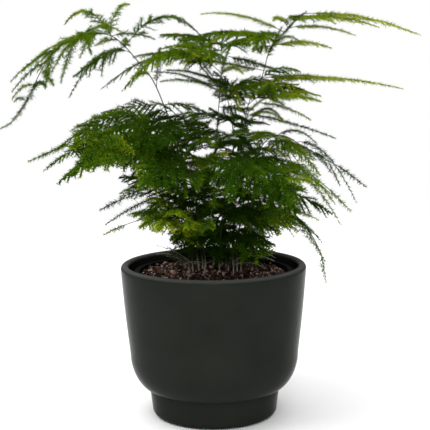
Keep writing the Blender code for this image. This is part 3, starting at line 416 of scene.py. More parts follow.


# Leafy stems. Twenty wiry stems grow from the crown in the soil. Each carries flat sprays, one after
# another: a rib, raked branchlets to both sides of it, and tufts of fine needles along them. Stem,
# ribs, branchlets and needles are one grown piece.
# Each stem is its route in mm from the soil to the tip, and its sprays as (place along the stem in %,
# tip x, y, z in mm, arch in % of length, half width in mm, tone from 0 for deep dark green to 9 for
# bright yellow green, or -10 for a dry grey twig). SMALL_SPRAYS fill in more sprays on the same stems.
# The tones are partly the greens' own colour and partly painted light and shade: low, inner sprays
# get darker tones, and sprays out in the light brighter ones.
# A search program fitted the shapes of most sprays to the plant's outline, and the other shapes were
# given one by one. Another program moved tones of sprays that show from the front to match its brightness.
FRONDS = {
    "arch_left": (
        [(-8, 6, 151), (-11, 9, 179), (-18, 9, 221), (-29, 6, 262), (-45, 0, 309), (-58, -6, 342),
         (-72, -12, 361), (-88, -20, 380), (-101, -28, 388), (-118, -39, 388), (-138, -51, 380),
         (-152, -62, 367), (-162, -72, 349), (-169, -78, 332), (-185, -86, 308), (-195, -90, 302)],
        [(48, -53, 42, 376, 12, 8, 3), (51, -78, -52, 338, 16, 6, 3), (60, -12, 52, 389, 23, 16, 4),
         (60, -132, -51, 348, 4, 19, 4), (58, -135, -62, 329, 21, 8, 4), (60, -87, 22, 386, 0, 11, 4),
         (64, -150, 30, 400, 24, 15, 6), (65, -83, 22, 419, 16, 11, 6), (64, -112, 30, 402, 5, 10, 5),
         (66, -189, 2, 354, 11, 14, 6), (68, -124, -60, 366, 12, 12, 6), (70, -150, -70, 352, 16, 12, 6),
         (73, -140, -80, 343, 6, 10, 5), (78, -192, -49, 344, 8, 11, 5), (62, -112, -30, 378, 12, 13, 6),
         (66, -174, -14, 358, 12, 13, 6), (65, -146, -8, 374, 14, 13, 5), (76, -168, -40, 352, 8, 10, 6),
         (80, -152, -96, 338, 8, 11, 5), (82, -188, -66, 335, 9, 6, 4), (84, -143, -107, 341, 2, 8, 5),
         (88, -185, -81, 329, 20, 6, 6), (43, -94, 6, 283, 4, 22, 0), (38, -101, 50, 251, 3, 23, 1),
         (32, -90, 92, 245, 6, 25, 2)]),
    "plume_right": (
        [(13, 6, 151), (16, 9, 179), (24, 14, 230), (30, 14, 281), (36, 11, 314), (43, 7, 332),
         (50, 4, 344), (54, 0, 358), (57, -3, 369), (65, -8, 381), (74, -12, 391), (83, -18, 401),
         (92, -22, 408)],
        [(62, 100, 45, 329, 16, 36, 2), (71, 186, -30, 333, 5, 14, 9), (75, -30, 25, 369, 0, 15, 7),
         (79, 68, -33, 393, 4, 6, 4), (72, 92, 36, 350, 13, 19, 5), (84, 116, -30, 373, 8, 17, 9),
         (82, 84, -54, 378, 17, 6, 5), (86, -24, 54, 385, 8, 36, 4), (87, 38, -84, 370, 13, 17, 5),
         (90, -10, 22, 409, 8, 9, 8), (92, 137, -40, 385, 7, 9, 8), (92, 59, -47, 399, 16, 12, 6),
         (95, 117, -62, 395, 10, 13, 7), (99, 196, -60, 384, 6, 15, 9), (50, 86, 56, 278, 6, 11, 7),
         (42, 70, 74, 262, 14, 22, 3)]),
    "tall_centre": (
        [(0, 10, 151), (0, 14, 183), (2, 18, 240), (5, 18, 292), (8, 15, 327), (10, 11, 348), (14, 6, 363),
         (18, 0, 375)],
        [(88, -85, -59, 334, 24, 22, 6), (93, -112, 20, 335, 16, 19, 3), (92, -80, 28, 367, 8, 20, 4),
         (100, -55, 72, 390, 5, 30, 4), (100, 32, -78, 380, 3, 21, 4), (96, 64, -34, 353, 0, 14, 3),
         (88, 30, -53, 349, 9, 6, 8), (84, -43, -56, 353, 5, 8, 2), (82, -51, 1, 342, 7, 9, 5),
         (80, -55, 56, 351, 7, 6, 2), (78, 53, 52, 328, 3, 19, 4), (69, -28, 50, 303, 11, 17, 0),
         (68, 40, 60, 296, 10, 25, 0), (60, -63, 47, 278, 7, 36, 2), (55, 32, 102, 262, 14, 34, 3),
         (50, -35, 98, 250, 3, 24, 4)]),
    "thin_centre": (
        [(20, 12, 151), (21, 18, 177), (21, 26, 229), (22, 30, 280), (19, 28, 309), (13, 26, 330),
         (-1, 24, 345), (-13, 20, 359)],
        [(89, -41, -16, 371, 19, 6, 5), (98, -32, 54, 383, 19, 18, 3), (80, 53, 70, 338, 13, 21, 3),
         (70, -3, 90, 312, 0, 18, 0), (67, 62, 80, 293, 8, 14, 0), (63, -22, 42, 299, 1, 18, 2),
         (52, 72, 48, 247, 15, 32, 2), (45, 52, 83, 227, 0, 19, 2), (40, -25, 90, 223, 1, 17, 2)]),
    "broad_left": (
        [(-15, -2, 151), (-18, -8, 182), (-23, -16, 219), (-30, -24, 260), (-41, -32, 290), (-58, -42, 307),
         (-79, -52, 311), (-99, -62, 306), (-120, -70, 294), (-146, -76, 281), (-172, -82, 270)],
        [(62, -139, -28, 295, 10, 12, 5), (50, -139, -130, 254, 9, 28, 4),
         (58, -154, -107, 264, 7, 19, 4), (68, -146, -78, 280, 9, 19, 5),
         (66, -129, -126, 259, 1, 23, 4), (42, -116, -132, 268, 6, 26, 4),
         (46, -120, -112, 267, 8, 34, 3), (32, -67, -120, 261, 13, 36, 5),
         (26, -68, -64, 249, 19, 26, 6), (40, -69, -7, 289, 14, 30, 3), (75, -129, -100, 284, 8, 20, 5),
         (54, -40, -130, 287, 12, 36, 1), (25, -49, -98, 238, 7, 15, 1)]),
    "thin_left": (
        [(-11, 2, 151), (-14, 4, 180), (-19, 2, 232), (-26, -4, 283), (-34, -8, 306), (-47, -14, 318),
         (-61, -20, 323)],
        [(82, -19, -44, 312, 8, 6, 4), (74, -15, -54, 309, 10, 17, 3), (88, -86, -4, 304, 0, 16, 2),
         (80, -65, 56, 296, 11, 30, 1), (65, -7, -56, 289, 5, 34, 3), (94, -109, -13, 312, 3, 22, 3),
         (70, -43, 54, 271, 1, 26, 3)]),
    "pale_right": (
        [(24, 0, 151), (26, -4, 181), (28, -8, 222), (31, -12, 263), (34, -18, 305), (43, -26, 319),
         (53, -34, 326)],
        [(98, 102, -79, 323, 6, 17, 7), (100, 106, -28, 327, 8, 17, 7), (94, 94, -55, 305, 7, 6, 6),
         (86, 118, -53, 287, 3, 6, 2), (84, 69, -70, 303, 13, 6, 6), (98, 54, -97, 342, 3, 17, 5),
         (82, 20, -58, 311, 4, 16, 1), (77, 66, -67, 306, 26, 8, 4)]),
    "weeping_high": (
        [(28, -4, 151), (31, 1, 180), (38, 4, 231), (45, 4, 264), (55, 0, 282), (71, -8, 287),
         (91, -18, 276), (111, -28, 265), (128, -36, 255), (149, -46, 239)],
        [(61, 98, -72, 284, 11, 6, 3), (69, 140, -42, 224, 20, 6, 2), (55, 102, -72, 253, 14, 18, 6),
         (49, 26, -50, 290, 4, 17, 1), (44, 3, 44, 281, 9, 20, 3), (52, 117, 34, 262, 4, 20, 3),
         (41, 97, 42, 253, 6, 23, 2), (76, 113, -62, 255, 8, 9, 2), (83, 126, -23, 239, 0, 6, 3)]),
    "weeping_middle": (
        [(24, -14, 151), (29, -20, 183), (39, -26, 220), (51, -32, 247), (69, -40, 261), (91, -48, 254),
         (111, -56, 239), (132, -62, 218)],
        [(60, 114, -89, 228, 17, 15, 6), (56, 120, -83, 208, 22, 11, 5), (46, 117, -38, 212, 10, 30, 2),
         (52, 90, -114, 252, 3, 19, 6), (38, 90, 18, 208, 15, 26, 2), (72, 118, -16, 229, 0, 6, 3),
         (54, 91, -10, 254, 6, 18, 2), (32, 70, -81, 226, 10, 6, 4)]),
    "weeping_low": (
        [(20, -22, 151), (26, -31, 180), (40, -40, 204), (60, -48, 218), (77, -56, 215), (92, -62, 199),
         (103, -66, 177), (108, -70, 150)],
        [(48, 100, -74, 211, 9, 10, 6), (43, 81, -92, 207, 10, 6, 4), (63, 105, -86, 174, 3, 10, 4),
         (54, 109, -17, 181, 6, 15, 3), (37, 85, -20, 193, 10, 22, 6), (25, 52, -66, 177, 8, 28, 4),
         (31, 68, 6, 208, 10, 6, 1), (20, 63, -10, 163, 10, 11, -10)]),
    "low_left": (
        [(-21, -8, 151), (-24, -12, 177), (-31, -22, 203), (-44, -34, 224), (-63, -46, 235),
         (-86, -58, 231), (-107, -68, 222)],
        [(64, -106, -38, 203, 4, 6, 2), (66, -93, -14, 231, 15, 11, 3), (48, -83, 8, 208, 1, 20, 5),
         (40, -61, -90, 234, 12, 17, 6), (22, -75, 21, 203, 25, 6, 1), (73, -88, -67, 232, 10, 15, 5),
         (54, -72, -90, 248, 13, 12, 7)]),
    "bright_left": (
        [(-25, -16, 151), (-25, -24, 174), (-31, -40, 197), (-43, -58, 211), (-62, -74, 214),
         (-82, -86, 210), (-102, -92, 202)],
        [(44, -50, -130, 210, 10, 26, 7), (28, -21, -132, 213, 12, 24, 5), (55, -67, -112, 211, 8, 22, 6),
         (38, 1, -118, 211, 10, 22, 4), (17, -57, -40, 182, 6, 14, -10), (52, -34, -130, 226, 8, 24, 5),
         (62, -83, -40, 213, 8, 14, 4), (14, -46, -60, 175, 5, 12, -10)]),
    "front_centre": (
        [(6, -16, 151), (7, -24, 179), (10, -36, 216), (14, -52, 248), (21, -72, 268), (31, -96, 272),
         (37, -124, 264)],
        [(52, 0, -130, 231, 18, 8, 3), (60, -7, -116, 252, 8, 22, 0), (70, 46, -143, 248, 1, 34, 1),
         (80, 67, -119, 253, 0, 30, 3), (65, 48, -144, 253, 11, 20, 3), (42, -2, -100, 232, 2, 8, 5),
         (68, -11, -72, 256, 8, 36, 4), (76, 66, -74, 268, 4, 21, 1), (32, 28, -112, 215, 10, 18, 0),
         (73, 16, -142, 238, 20, 29, 2), (26, 14, -96, 192, 0, 6, 0)]),
    "front_right": (
        [(15, -14, 151), (20, -26, 180), (31, -42, 212), (44, -58, 236), (56, -80, 248), (67, -106, 244)],
        [(57, 20, -119, 237, 17, 12, 0), (78, 78, -98, 221, 2, 28, 3), (82, 68, -136, 233, 12, 34, 3),
         (50, 48, -119, 205, 0, 9, 1), (40, 79, -75, 207, 10, 26, 6), (68, 82, -40, 242, 3, 29, 3),
         (29, 54, -84, 189, 13, 24, 1), (24, 32, -84, 180, 8, 6, 3)]),
    "front_left": (
        [(-9, -18, 151), (-10, -26, 180), (-14, -38, 212), (-18, -56, 243), (-25, -78, 264),
         (-35, -104, 266)],
        [(58, -56, -106, 250, 14, 26, 2), (77, -65, -140, 251, 12, 36, 3),
         (68, -13, -124, 245, 17, 17, 3), (42, -32, -104, 234, 21, 6, 0), (72, -58, -38, 265, 15, 34, 3),
         (32, -11, -90, 190, 0, 9, 1), (52, 2, -96, 244, 9, 13, 0), (24, -26, -62, 192, 0, 7, 6)]),
    "back_left": (
        [(-9, 24, 151), (-12, 32, 175), (-17, 44, 216), (-27, 62, 257), (-46, 86, 284), (-69, 112, 289),
         (-93, 134, 276)],
        [(54, -72, 46, 275, 8, 21, 2), (42, 3, 100, 263, 8, 24, 2), (61, -10, 151, 290, 14, 36, 2),
         (34, -61, 60, 231, 15, 22, 1), (24, 15, 114, 215, 13, 21, 2), (18, -52, 50, 203, 12, 22, 1),
         (77, -101, 70, 292, 7, 36, 3), (72, -42, 153, 268, 17, 22, 4)]),
    "back_right": (
        [(9, 24, 151), (14, 34, 175), (25, 46, 216), (38, 62, 257), (54, 86, 278), (76, 112, 279),
         (97, 134, 266)],
        [(57, 88, 43, 252, 6, 25, 4), (46, 6, 109, 255, 10, 24, 2), (62, 29, 145, 292, 6, 24, 4),
         (35, 69, 62, 222, 10, 29, 1), (28, 55, 116, 205, 7, 25, 2), (20, 48, 60, 182, 10, 22, 1),
         (78, 106, 66, 266, 0, 24, 3), (74, 54, 147, 263, 18, 21, 4)]),
    "back_centre": (
        [(1, 28, 151), (0, 40, 174), (0, 60, 214), (2, 84, 255), (5, 110, 277), (8, 138, 280),
         (10, 164, 264)],
        [(44, -40, 90, 242, 18, 33, 2), (62, 53, 120, 262, 0, 22, 3), (57, -39, 136, 263, 0, 31, 2),
         (31, 39, 112, 201, 0, 21, 2), (26, -34, 91, 194, 14, 21, 1), (70, -26, 160, 273, 18, 34, 5),
         (19, 10, 124, 168, 11, 21, 3), (72, 40, 156, 284, 1, 22, 5)]),
    "back_low_left": (
        [(-16, 18, 151), (-20, 30, 170), (-30, 50, 192), (-47, 72, 204), (-67, 94, 204), (-89, 112, 190)],
        [(45, -69, 50, 190, 2, 22, 2), (56, -42, 126, 183, 10, 22, 3), (32, -15, 98, 167, 0, 20, 1),
         (26, -47, 62, 172, 17, 18, 1), (70, -70, 130, 181, 21, 20, 6)]),
    "back_low_right": (
        [(17, 19, 151), (24, 30, 170), (37, 50, 191), (56, 72, 201), (77, 94, 198), (96, 112, 182)],
        [(45, 75, 48, 188, 17, 31, 2), (56, 49, 127, 179, 12, 22, 3), (32, 19, 102, 164, 2, 21, 1),
         (24, 67, 66, 164, 8, 22, 1), (70, 85, 130, 180, 7, 32, 3)]),
}
SMALL_SPRAYS = {
    "arch_left": [
        (64, -57, 8, 384, 7, 9, 4), (72, -109, -100, 368, 13, 14, 5), (89, -151, -104, 340, 16, 9, 3),
        (92, -185, -70, 326, 20, 6, 3), (72, -88, -28, 391, 16, 12, 6)],
    "plume_right": [
        (62, 2, 46, 351, 4, 27, 2), (98, 84, 20, 402, 3, 17, 6), (84, 42, -21, 371, 5, 17, 6),
        (85, 40, -41, 378, 17, 33, 7), (86, -5, -55, 377, 12, 15, 6), (97, 158, -52, 392, 6, 16, 8),
        (72, 128, -30, 341, 5, 15, 8)],
    "tall_centre": [
        (76, 8, -28, 333, 11, 13, 5), (74, 39, -18, 314, 0, 20, 2), (95, -17, -42, 370, 7, 22, 5),
        (94, -35, -37, 376, 6, 21, 5), (97, -51, 5, 374, 10, 16, 6), (78, 63, 20, 340, 16, 22, 5),
        (80, 84, -26, 338, 4, 31, 7)],
    "thin_centre": [
        (91, 16, 74, 326, 10, 17, 3)],
    "broad_left": [
        (89, -95, -55, 263, 6, 20, 4), (57, -103, -36, 313, 1, 24, 6), (84, -73, -86, 277, 16, 21, 6),
        (87, -68, -85, 263, 7, 18, 4), (36, -112, -26, 272, 10, 34, 2), (28, -92, -20, 248, 8, 32, 3),
        (46, -132, -44, 276, 8, 26, 3)],
    "thin_left": [
        (58, 14, -32, 273, 3, 20, 7), (93, 2, 2, 305, 11, 18, 2), (60, -66, 4, 268, 6, 30, 1)],
    "front_centre": [
        (38, 4, -74, 232, 6, 26, 2), (46, 40, -90, 236, 6, 26, 0)],
    "low_left": [
        (13, -58, -10, 168, 10, 12, -10)],
    "bright_left": [
        (11, -38, -58, 166, 12, 11, -10)],
    "front_left": [
        (14, -30, -48, 164, 8, 10, -10)],
    "weeping_low": [
        (15, 60, -44, 166, 12, 12, -10), (12, 48, -58, 163, 8, 11, -10)],
}
STEM_FOOT, PATH_POINTS, RIB_POINTS, RIB_RINGS = 134.5, 201, 24, 13
TIP_SHARE, TIP_WIDTH, BARE_SHARE = 0.86, 6, 0.10
CLEAR, LIFTS = 3.5, (0, 4, -4, 8, -8, 12, -12, 16, -16)
CORE_SPRAYS, CORE_LEFT, CORE_RIGHT = 5, -36, 75
STEM_R, STEM_TIP_R, RIB_R, RIB_TIP_R, TWIG_R, TWIG_TIP_R = 0.68, 0.35, 0.42, 0.20, 0.75, 0.30
STEM_RINGS, WOOD_FROM, WOOD_FADE = 90, 154, 26
TUFT_STEP, PAIRS, NEEDLE, NEEDLE_RIDGE, OPEN_FROM, OPEN_MORE = 1.6, 3, 4.8, 0.26, 24, 44
OUTWARD_SHARE, FRONT_FADE, DROOP, DRY_BARE, DRY_TWIG = 0.45, (90, 60), 0.10, 0.6, 0.25
# The last two: how much lighter the tips of fingers and of other branchlets are painted: painted light.
FINGER_WIDTH, FINGER_SHARE, FINGER_FALL, FINGER_PAINTED_LIGHT, TIP_PAINTED_LIGHT = 18, 0.4, 0.5, 0.28, 0.14
# What changes with a spray's half width: a value for narrow sprays and one for wide ones.
WIDTHS, BRANCH_WIDTHS, SLIM_WIDTHS = (9, 26), (10, 26), (9, 20)
BRANCH_STEPS, NEEDLE_HALVES, RAKES, TWIG_SIZES = (2.0, 2.9), (0.30, 0.52), (0.78, 0.56), (0.45, 2.2)
# How far a stem's sprays lean, how far their branchlets stand out of the flat, both in degrees, and
# the distance in mm from tuft to tuft along the rib, which is up to 1 mm less on slim sprays.
POSES = {"arch_left": (20, 28, 2.0), "broad_left": (44, 8, 2.2), "plume_right": (14, 8, 2.2),
         "tall_centre": (24, 8, 2.2), "pale_right": (20, 8, 2.2), "weeping_high": (30, 18, 3.6),
         "weeping_middle": (30, 18, 3.6), "weeping_low": (30, 18, 3.6)}
POSE = (30, 8, 2.2)


def even_steps(curve, count):
    """The same curve, read at evenly spaced shares of its length."""
    run = np.concatenate([[0.0], np.cumsum(np.linalg.norm(np.diff(curve, axis=0), axis=1))])
    wanted = np.linspace(0.0, run[-1], count)
    return np.stack([np.interp(wanted, run, curve[:, k]) for k in range(3)], axis=1)


def along(path, share):
    """Points at shares of a path's length."""
    place = np.clip(share, 0.0, 1.0) * (len(path) - 1)
    return np.stack([np.interp(place, np.arange(len(path)), path[:, k]) for k in range(3)], axis=-1)


def stem_path(route):
    """Smooth stem: upright in the soil, then a Catmull-Rom curve through its route."""
    points = np.array(route, float)
    foot = points[:1] * (1, 1, 0) + (0, 0, STEM_FOOT)
    below = points[1:2] * (1, 1, -1) + (0, 0, 2 * points[0, 2])
    ends = np.vstack([below, points, 2 * points[-1:] - points[-2:-1]])
    t = np.linspace(0, 1, 12, endpoint=False)[None, :, None]
    a, b, c, d = (ends[i:len(ends) - 3 + i, None, :] for i in range(4))
    bends = 0.5 * (2 * b + (c - a) * t + (2 * a - 5 * b + 4 * c - d) * t ** 2
                   + (3 * b - a - 3 * c + d) * t ** 3)
    return even_steps(np.vstack([foot, bends.reshape(-1, 3), points[-1:]]), PATH_POINTS)


def spray_rib(root, tip, arch):
    """A spray's rib: a parabola from stem to tip, its middle raised by the arch times its length."""
    middle = (root + tip) / 2 + np.array([0.0, 0.0, 2 * arch * np.linalg.norm(tip - root)])
    t = np.linspace(0.0, 1.0, RIB_POINTS)[:, None]
    return (1 - t) ** 2 * root + 2 * t * (1 - t) * middle + t ** 2 * tip


def core_sprays(path, rng):
    """Short shaded sprays that crowd the foot of a stem: roots from 20 to 90 mm above the soil, tips a
    short way off in any direction and a little lower."""
    made = []
    height = path[:, 2]
    for root_z in rng.uniform(169, 236, CORE_SPRAYS):
        place = np.argmax(height > root_z) / (len(path) - 1)
        root = along(path, place)
        turn = rng.uniform(-math.pi, math.pi)
        reach = rng.uniform(22, 42)
        drop = rng.uniform(2, 14)
        tip = root + [reach * math.cos(turn), reach * math.sin(turn), -drop]
        tip[0] = np.clip(tip[0], CORE_LEFT, CORE_RIGHT)
        # Their tones, 0 and 1, are the darkest greens: painted shade for these crowded inner sprays.
        made.append((place * 100, *tip, rng.uniform(8, 16), rng.uniform(14, 18), rng.integers(0, 2)))
    return made


paths = {name: stem_path(route) for name, (route, _) in FRONDS.items()}
taken = {name: [path] for name, path in paths.items()}
ribs = {name: [] for name in FRONDS}
rows = [(name, spray) for name, (_, sprays) in FRONDS.items() for spray in sprays]
rows += [(name, spray) for name, sprays in SMALL_SPRAYS.items() for spray in sprays]
rng = np.random.default_rng(3)
rows += [(name, spray) for name, path in paths.items() for spray in core_sprays(path, rng)]
for name, (place, x, y, z, arch, width, tone) in rows:
    # A rib that would touch another stem's sprays has its tip raised or lowered until it is clear.
    others = np.vstack([np.vstack(curves) for other, curves in taken.items() if other != name])
    root, best = along(paths[name], place / 100), None
    for lift in LIFTS:
        rib = spray_rib(root, np.array([x, y, z + lift], float), arch / 100)
        gap = np.sqrt(((rib[2:, None, :] - others[None, :, :]) ** 2).sum(axis=2).min())
        if best is None or gap > best[0]:
            best = (gap, rib)
        if gap > CLEAR:
            break
    ribs[name].append((best[1], width, tone))
    taken[name].append(best[1])
for name, path in paths.items():
    tip_tone = FRONDS[name][1][0][-1]
    ribs[name].append((along(path, np.linspace(TIP_SHARE, 1.0, RIB_POINTS)), TIP_WIDTH, tip_tone))


def unit(vectors):
    """Vectors divided by their lengths."""
    return vectors / (np.linalg.norm(vectors, axis=-1, keepdims=True) + 1e-9)


def tubes(lines, radii, sides, up, height=1.0):
    """Closed tubes along many lines at once. Each ring stands square to its line, its corners at even
    angles from the up direction and squeezed to a height, and both ends are closed by a flat fan."""
    count, stations = lines.shape[:2]
    ahead = unit(np.gradient(lines, axis=1))
    across = unit(np.cross(ahead, up))
    over = np.cross(across, ahead)
    angle = np.arange(sides) * 2 * np.pi / sides
    spoke = (height * np.cos(angle)[:, None] * over[:, :, None, :]
             + np.sin(angle)[:, None] * across[:, :, None, :])
    points = lines[:, :, None, :] + spoke * np.broadcast_to(radii, (count, stations))[:, :, None, None]
    k = np.arange(1, sides - 1)
    first = np.stack([np.zeros(sides - 2, int), k + 1, k], 1)
    last = np.stack([np.zeros(sides - 2, int), k, k + 1], 1) + (stations - 1) * sides
    one = np.concatenate([grid_triangles(stations, sides, True), first, last])
    step = stations * sides
    return points.reshape(-1, 3), (one + step * np.arange(count)[:, None, None]).reshape(-1, 3)


def needle_pairs(foot, ahead, over, aims, lengths, half):
    """Needles in pairs, one to either side of the twig. A pair is one closed piece of six faces: three
    corners on the twig, two along it and one on its ridge, and a pointed tip to each side."""
    corners = [foot + half * ahead, foot + NEEDLE_RIDGE * over, foot - half * ahead]
    tips = [foot + aim * length[:, None] for aim, length in zip(aims, lengths)]
    points = np.stack(corners + tips, axis=1)
    one = np.array([[0, 1, 3], [1, 2, 3], [2, 0, 3], [1, 0, 4], [2, 1, 4], [0, 2, 4]])
    return points.reshape(-1, 3), (one + 5 * np.arange(len(foot))[:, None, None]).reshape(-1, 3)


def tufts(foot, ahead, up, tone, count, length, half, rng):
    """Needles in tufts: at each foot, count pairs fan out to both sides, 24 to 68 degrees from the
    twig's direction, and most of them within 45 degrees of the spray's plane."""
    foot, ahead, up, length = (np.repeat(a, count, axis=0) for a in (foot, ahead, up, length))
    n = len(foot)
    foot = foot + ahead * rng.uniform(-0.7, 0.7, (n, 1))
    across = unit(np.cross(ahead, up))
    aims, lengths = [], []
    for side in (across, -across):
        open_angle = np.radians(OPEN_FROM + OPEN_MORE * rng.random(n))[:, None]
        roll = np.radians(rng.normal(0, 45, n).clip(-80, 80))[:, None]
        aims.append(unit(np.cos(open_angle) * ahead
                         + np.sin(open_angle) * (np.cos(roll) * side + np.sin(roll) * up)))
        lengths.append(length * (0.7 + 0.45 * rng.random(n)))
    points, faces = needle_pairs(foot, ahead, up, aims, lengths, half)
    tone = np.repeat(tone, count) + rng.normal(0, 0.06, n)
    # Painted shade and light: each needle is a little darker at its foot on the twig and lighter at its
    # tip.
    return points, faces, (tone[:, None] + [-0.04, -0.04, -0.04, 0.08, 0.08]).ravel()


def grow_spray(rib, width, tone, pose, rng):
    """One flat spray as a list of (points, triangles, tone, wood, smooth). Branchlets leave the rib to
    the left and right in turn, raked forwards and drooping a little, and bend forwards as they go. Some
    of a wide spray's hang like fingers. Painted shade and light in the tone: darker near the spray's
    foot and on the needles along the rib, lighter towards its end and at the branchlets' tips, most
    at the fingers' tips."""
    tangent = unit(np.gradient(rib, axis=0))
    across = unit(np.cross(tangent, [0.0, 0.0, 1.0]))
    up = np.cross(across, tangent)
    front = np.clip((FRONT_FADE[0] - rib[-1, 1]) / FRONT_FADE[1], 0, 1)
    towards = OUTWARD_SHARE * unit(rib[-1] * [1, 1, 0]) + front * np.array([0.0, -1.0, 0.0])
    lean = -np.radians(pose[0]) * np.clip(across @ towards, -1, 1)[:, None]
    across = np.cos(lean) * across + np.sin(lean) * up
    up = np.cross(across, tangent)
    dry = tone < 0
    base_tone = 0.2 if dry else tone / 9
    length = np.linalg.norm(np.diff(rib, axis=0), axis=1).sum()
    made = []

    step = np.interp(width, BRANCH_WIDTHS, BRANCH_STEPS)
    count = max(4, int(length * (1 - BARE_SHARE) / step))
    share = np.linspace(BARE_SHARE, 0.97, count)
    share = share + rng.normal(0, 0.25, count) * (share[1] - share[0])
    sign = np.where(np.arange(count) % 2, 1.0, -1.0)[:, None]
    root, t, a, u = (along(line, share) for line in (rib, tangent, across, up))
    t, a, u = unit(t), unit(a), unit(u)
    rake = np.interp(width, WIDTHS, RAKES)
    forward = (rake + (0.96 - rake) * share ** 2 + rng.normal(0, 0.04, count)).clip(0.3, 0.97)[:, None]
    rise = np.radians(rng.normal(0, pose[1], (count, 1)))
    aside = np.cos(rise) * a * sign + np.sin(rise) * u
    aim = unit(t * forward + aside * np.sqrt(1 - forward ** 2) - DROOP * u)
    slim = np.interp(width, SLIM_WIDTHS, [1, 0])
    half = np.interp(width, WIDTHS, NEEDLE_HALVES)
    reach = (1 - 0.4 * slim) * width * np.minimum(1.0, 0.55 + 2 * share) * (1 - share).clip(0) ** 0.8 + 0.8
    reach = reach * (0.82 + 0.28 * rng.random(count))
    finger = (width >= FINGER_WIDTH) & (rng.random(count) < FINGER_SHARE)
    bend = 0.16 * t - [0.0, 0.0, 1.0] * np.where(finger, FINGER_FALL, 0.10)[:, None]

    s = np.linspace(0, 1, 3)[None, :, None]
    lines = root[:, None, :] + reach[:, None, None] * (s * aim[:, None, :] + s ** 2 * bend[:, None, :])
    twig_r = TWIG_TIP_R + (TWIG_R - TWIG_TIP_R) * (1 - s[0, :, 0])
    twig_r = twig_r * (DRY_TWIG if dry else np.interp(width, WIDTHS, TWIG_SIZES))
    points, faces = tubes(lines, twig_r, 3, u[:, None, :], 0.35)
    # Painted shade and light: branchlets near the spray's foot are darker, those near its end lighter.
    twig_tone = base_tone * (0.55 + 0.5 * share.clip(0, 1)) + rng.normal(0, 0.05, count)
    twig_wood = np.full(len(points), 0.9 if dry else 0.0)
    made.append((points, faces, np.repeat(0.5 * twig_tone, 9), twig_wood, True))

    per_twig = np.maximum(1, np.round(reach / TUFT_STEP)).astype(int)
    owner = np.repeat(np.arange(count), per_twig)
    order = np.arange(len(owner)) - np.repeat(np.cumsum(per_twig) - per_twig, per_twig)
    q = ((order + 0.75 + 0.3 * rng.random(len(owner))) / per_twig[owner])[:, None].clip(0, 1)
    foot = root[owner] + reach[owner, None] * (q * aim[owner] + q ** 2 * bend[owner])
    ahead = unit(aim[owner] + 2 * q * bend[owner])
    # Painted light: the needles grow lighter towards a branchlet's tip, more so on fingers.
    lighter = np.where(finger[owner], FINGER_PAINTED_LIGHT, TIP_PAINTED_LIGHT)
    tuft_tone = twig_tone[owner] + lighter * (0.3 + base_tone) * q[:, 0] ** 2.5
    long = NEEDLE * (1 - 0.6 * share[owner].clip(0, 1) ** 3)
    if dry:
        bare = rng.random(len(owner)) < DRY_BARE
        foot, ahead, tuft_tone, owner, long = (v[~bare] for v in (foot, ahead, tuft_tone, owner, long))
    points, faces, shade = tufts(foot, ahead, u[owner], tuft_tone, PAIRS, long, half, rng)
    made.append((points, faces, shade, np.full(len(points), 0.6 if dry else 0.0), False))

    if not dry:
        steps = max(3, int(length * (1 - BARE_SHARE) / (pose[2] - 1.0 * slim)))
        share = np.linspace(BARE_SHARE, 1.0, steps)
        foot, t, u = along(rib, share), unit(along(tangent, share)), unit(along(up, share))
        long = (0.85 + 0.2 * slim) * NEEDLE * (1 - 0.5 * share ** 3)
        # Painted shade: the needles along the rib are a little darker than the branchlets'.
        points, faces, shade = tufts(foot, t, u, np.full(steps, 0.8 * base_tone), 2, long, half, rng)
        made.append((points, faces, shade, np.zeros(len(points)), False))
    return made


def leafy_stem(name, seed):
    """Points, triangles, tone, wood and smoothness of one whole stem with all its sprays."""
    rng = np.random.default_rng(seed)
    path = paths[name]
    line = along(path, np.linspace(0, 0.97, STEM_RINGS))
    share = np.linspace(0, 1, STEM_RINGS)
    radius = STEM_R + (STEM_TIP_R - STEM_R) * share
    points, faces = tubes(line[None], radius, 6, np.array([0.3, 1.0, 0.1]))
    height = points[:, 2]
    wood = np.clip(1.0 - (height - WOOD_FROM) / WOOD_FADE, 0.5, 1.0)
    made = [(points, faces, np.full(len(points), 0.3), wood, True)]
    share = np.linspace(0, 1, RIB_RINGS)
    rib_lines = np.stack([along(rib, share) for rib, _, _ in ribs[name]])
    points, faces = tubes(rib_lines, RIB_R + (RIB_TIP_R - RIB_R) * share, 3, np.array([0.05, 0.02, 1.0]))
    rib_tone = np.repeat([max(tone, 1) / 9 for _, _, tone in ribs[name]], RIB_RINGS * 3)
    rib_wood = np.repeat([1.0 if tone < 0 else 0.0 for _, _, tone in ribs[name]], RIB_RINGS * 3)
    rib_wood = np.maximum(rib_wood, np.tile(np.repeat(0.5 - 0.35 * share, 3), len(rib_lines)))
    made.append((points, faces, rib_tone, rib_wood, True))
    for rib, width, tone in ribs[name]:
        made += grow_spray(rib, width, tone, POSES.get(name, POSE), rng)
    start = np.cumsum([0] + [len(part[0]) for part in made])
    return (np.concatenate([part[0] for part in made]),
            np.concatenate([part[1] + first for part, first in zip(made, start)]),
            np.concatenate([part[2] for part in made]), np.concatenate([part[3] for part in made]),
            np.concatenate([np.full(len(part[1]), part[4]) for part in made]))
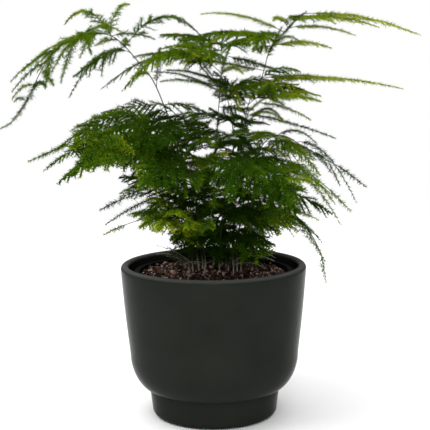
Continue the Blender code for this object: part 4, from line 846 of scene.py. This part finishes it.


# The green runs from deep dark green to yellow green with the tone, and drifts a little over the plant.
# The tone holds painted light and shade as well as the green's own colour.
# Wood turns it to dark olive on the ribs and stems, and to pale grey green at the stems' feet.
green, tree, shader = new_material("fern_green")
where = add_node(tree, "ShaderNodeTexCoord").outputs["Object"]
own_tone = add_node(tree, "ShaderNodeAttribute", attribute_name="tone").outputs["Fac"]
own_wood = add_node(tree, "ShaderNodeAttribute", attribute_name="wood").outputs["Fac"]
drift = add_node(tree, "ShaderNodeTexNoise", Scale=28.0, Detail=3.0)
tree.links.new(where, drift.inputs["Vector"])
spread = add_node(tree, "ShaderNodeMapRange", From_Min=0.3, From_Max=0.7, To_Min=-0.08, To_Max=0.08)
tree.links.new(drift.outputs["Fac"], spread.inputs["Value"])
mixed = add_node(tree, "ShaderNodeMath", operation="ADD")
tree.links.new(own_tone, mixed.inputs[0])
tree.links.new(spread.outputs["Result"], mixed.inputs[1])
leaf = add_ramp(tree, mixed.outputs["Value"], [(0.0, 0.010, 0.024, 0.002), (0.3, 0.024, 0.066, 0.003),
                                               (0.6, 0.104, 0.178, 0.007), (0.85, 0.245, 0.302, 0.013),
                                               (1.0, 0.340, 0.380, 0.025)])
bark = add_ramp(tree, own_wood, [(0.3, 0.024, 0.042, 0.010), (0.6, 0.040, 0.046, 0.020),
                                 (0.85, 0.240, 0.240, 0.180), (1.0, 0.420, 0.410, 0.340)])
amount = add_node(tree, "ShaderNodeMapRange", From_Min=0.05, From_Max=0.6, To_Min=0.0, To_Max=1.0)
tree.links.new(own_wood, amount.inputs["Value"])
blend = add_node(tree, "ShaderNodeMix", data_type="RGBA")
tree.links.new(amount.outputs["Result"], blend.inputs["Factor"])
tree.links.new(leaf, blend.inputs["A"])
tree.links.new(bark, blend.inputs["B"])
tree.links.new(blend.outputs["Result"], shader.inputs["Base Color"])
shader.inputs["Roughness"].default_value = 0.7
shader.inputs["Specular IOR Level"].default_value = 0.0

for seed, name in enumerate(FRONDS):
    points, faces, tone, wood, smooth = leafy_stem(name, seed)
    stem = put_mesh(name + "_stem", points * MM, faces, smooth)
    for key, values in (("tone", tone), ("wood", wood)):
        stem.data.attributes.new(key, "FLOAT", "POINT").data.foreach_set("value", values.astype(np.float32))
    stem.data.materials.append(green)
    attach(stem, "root")
    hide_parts("frond_" + name)
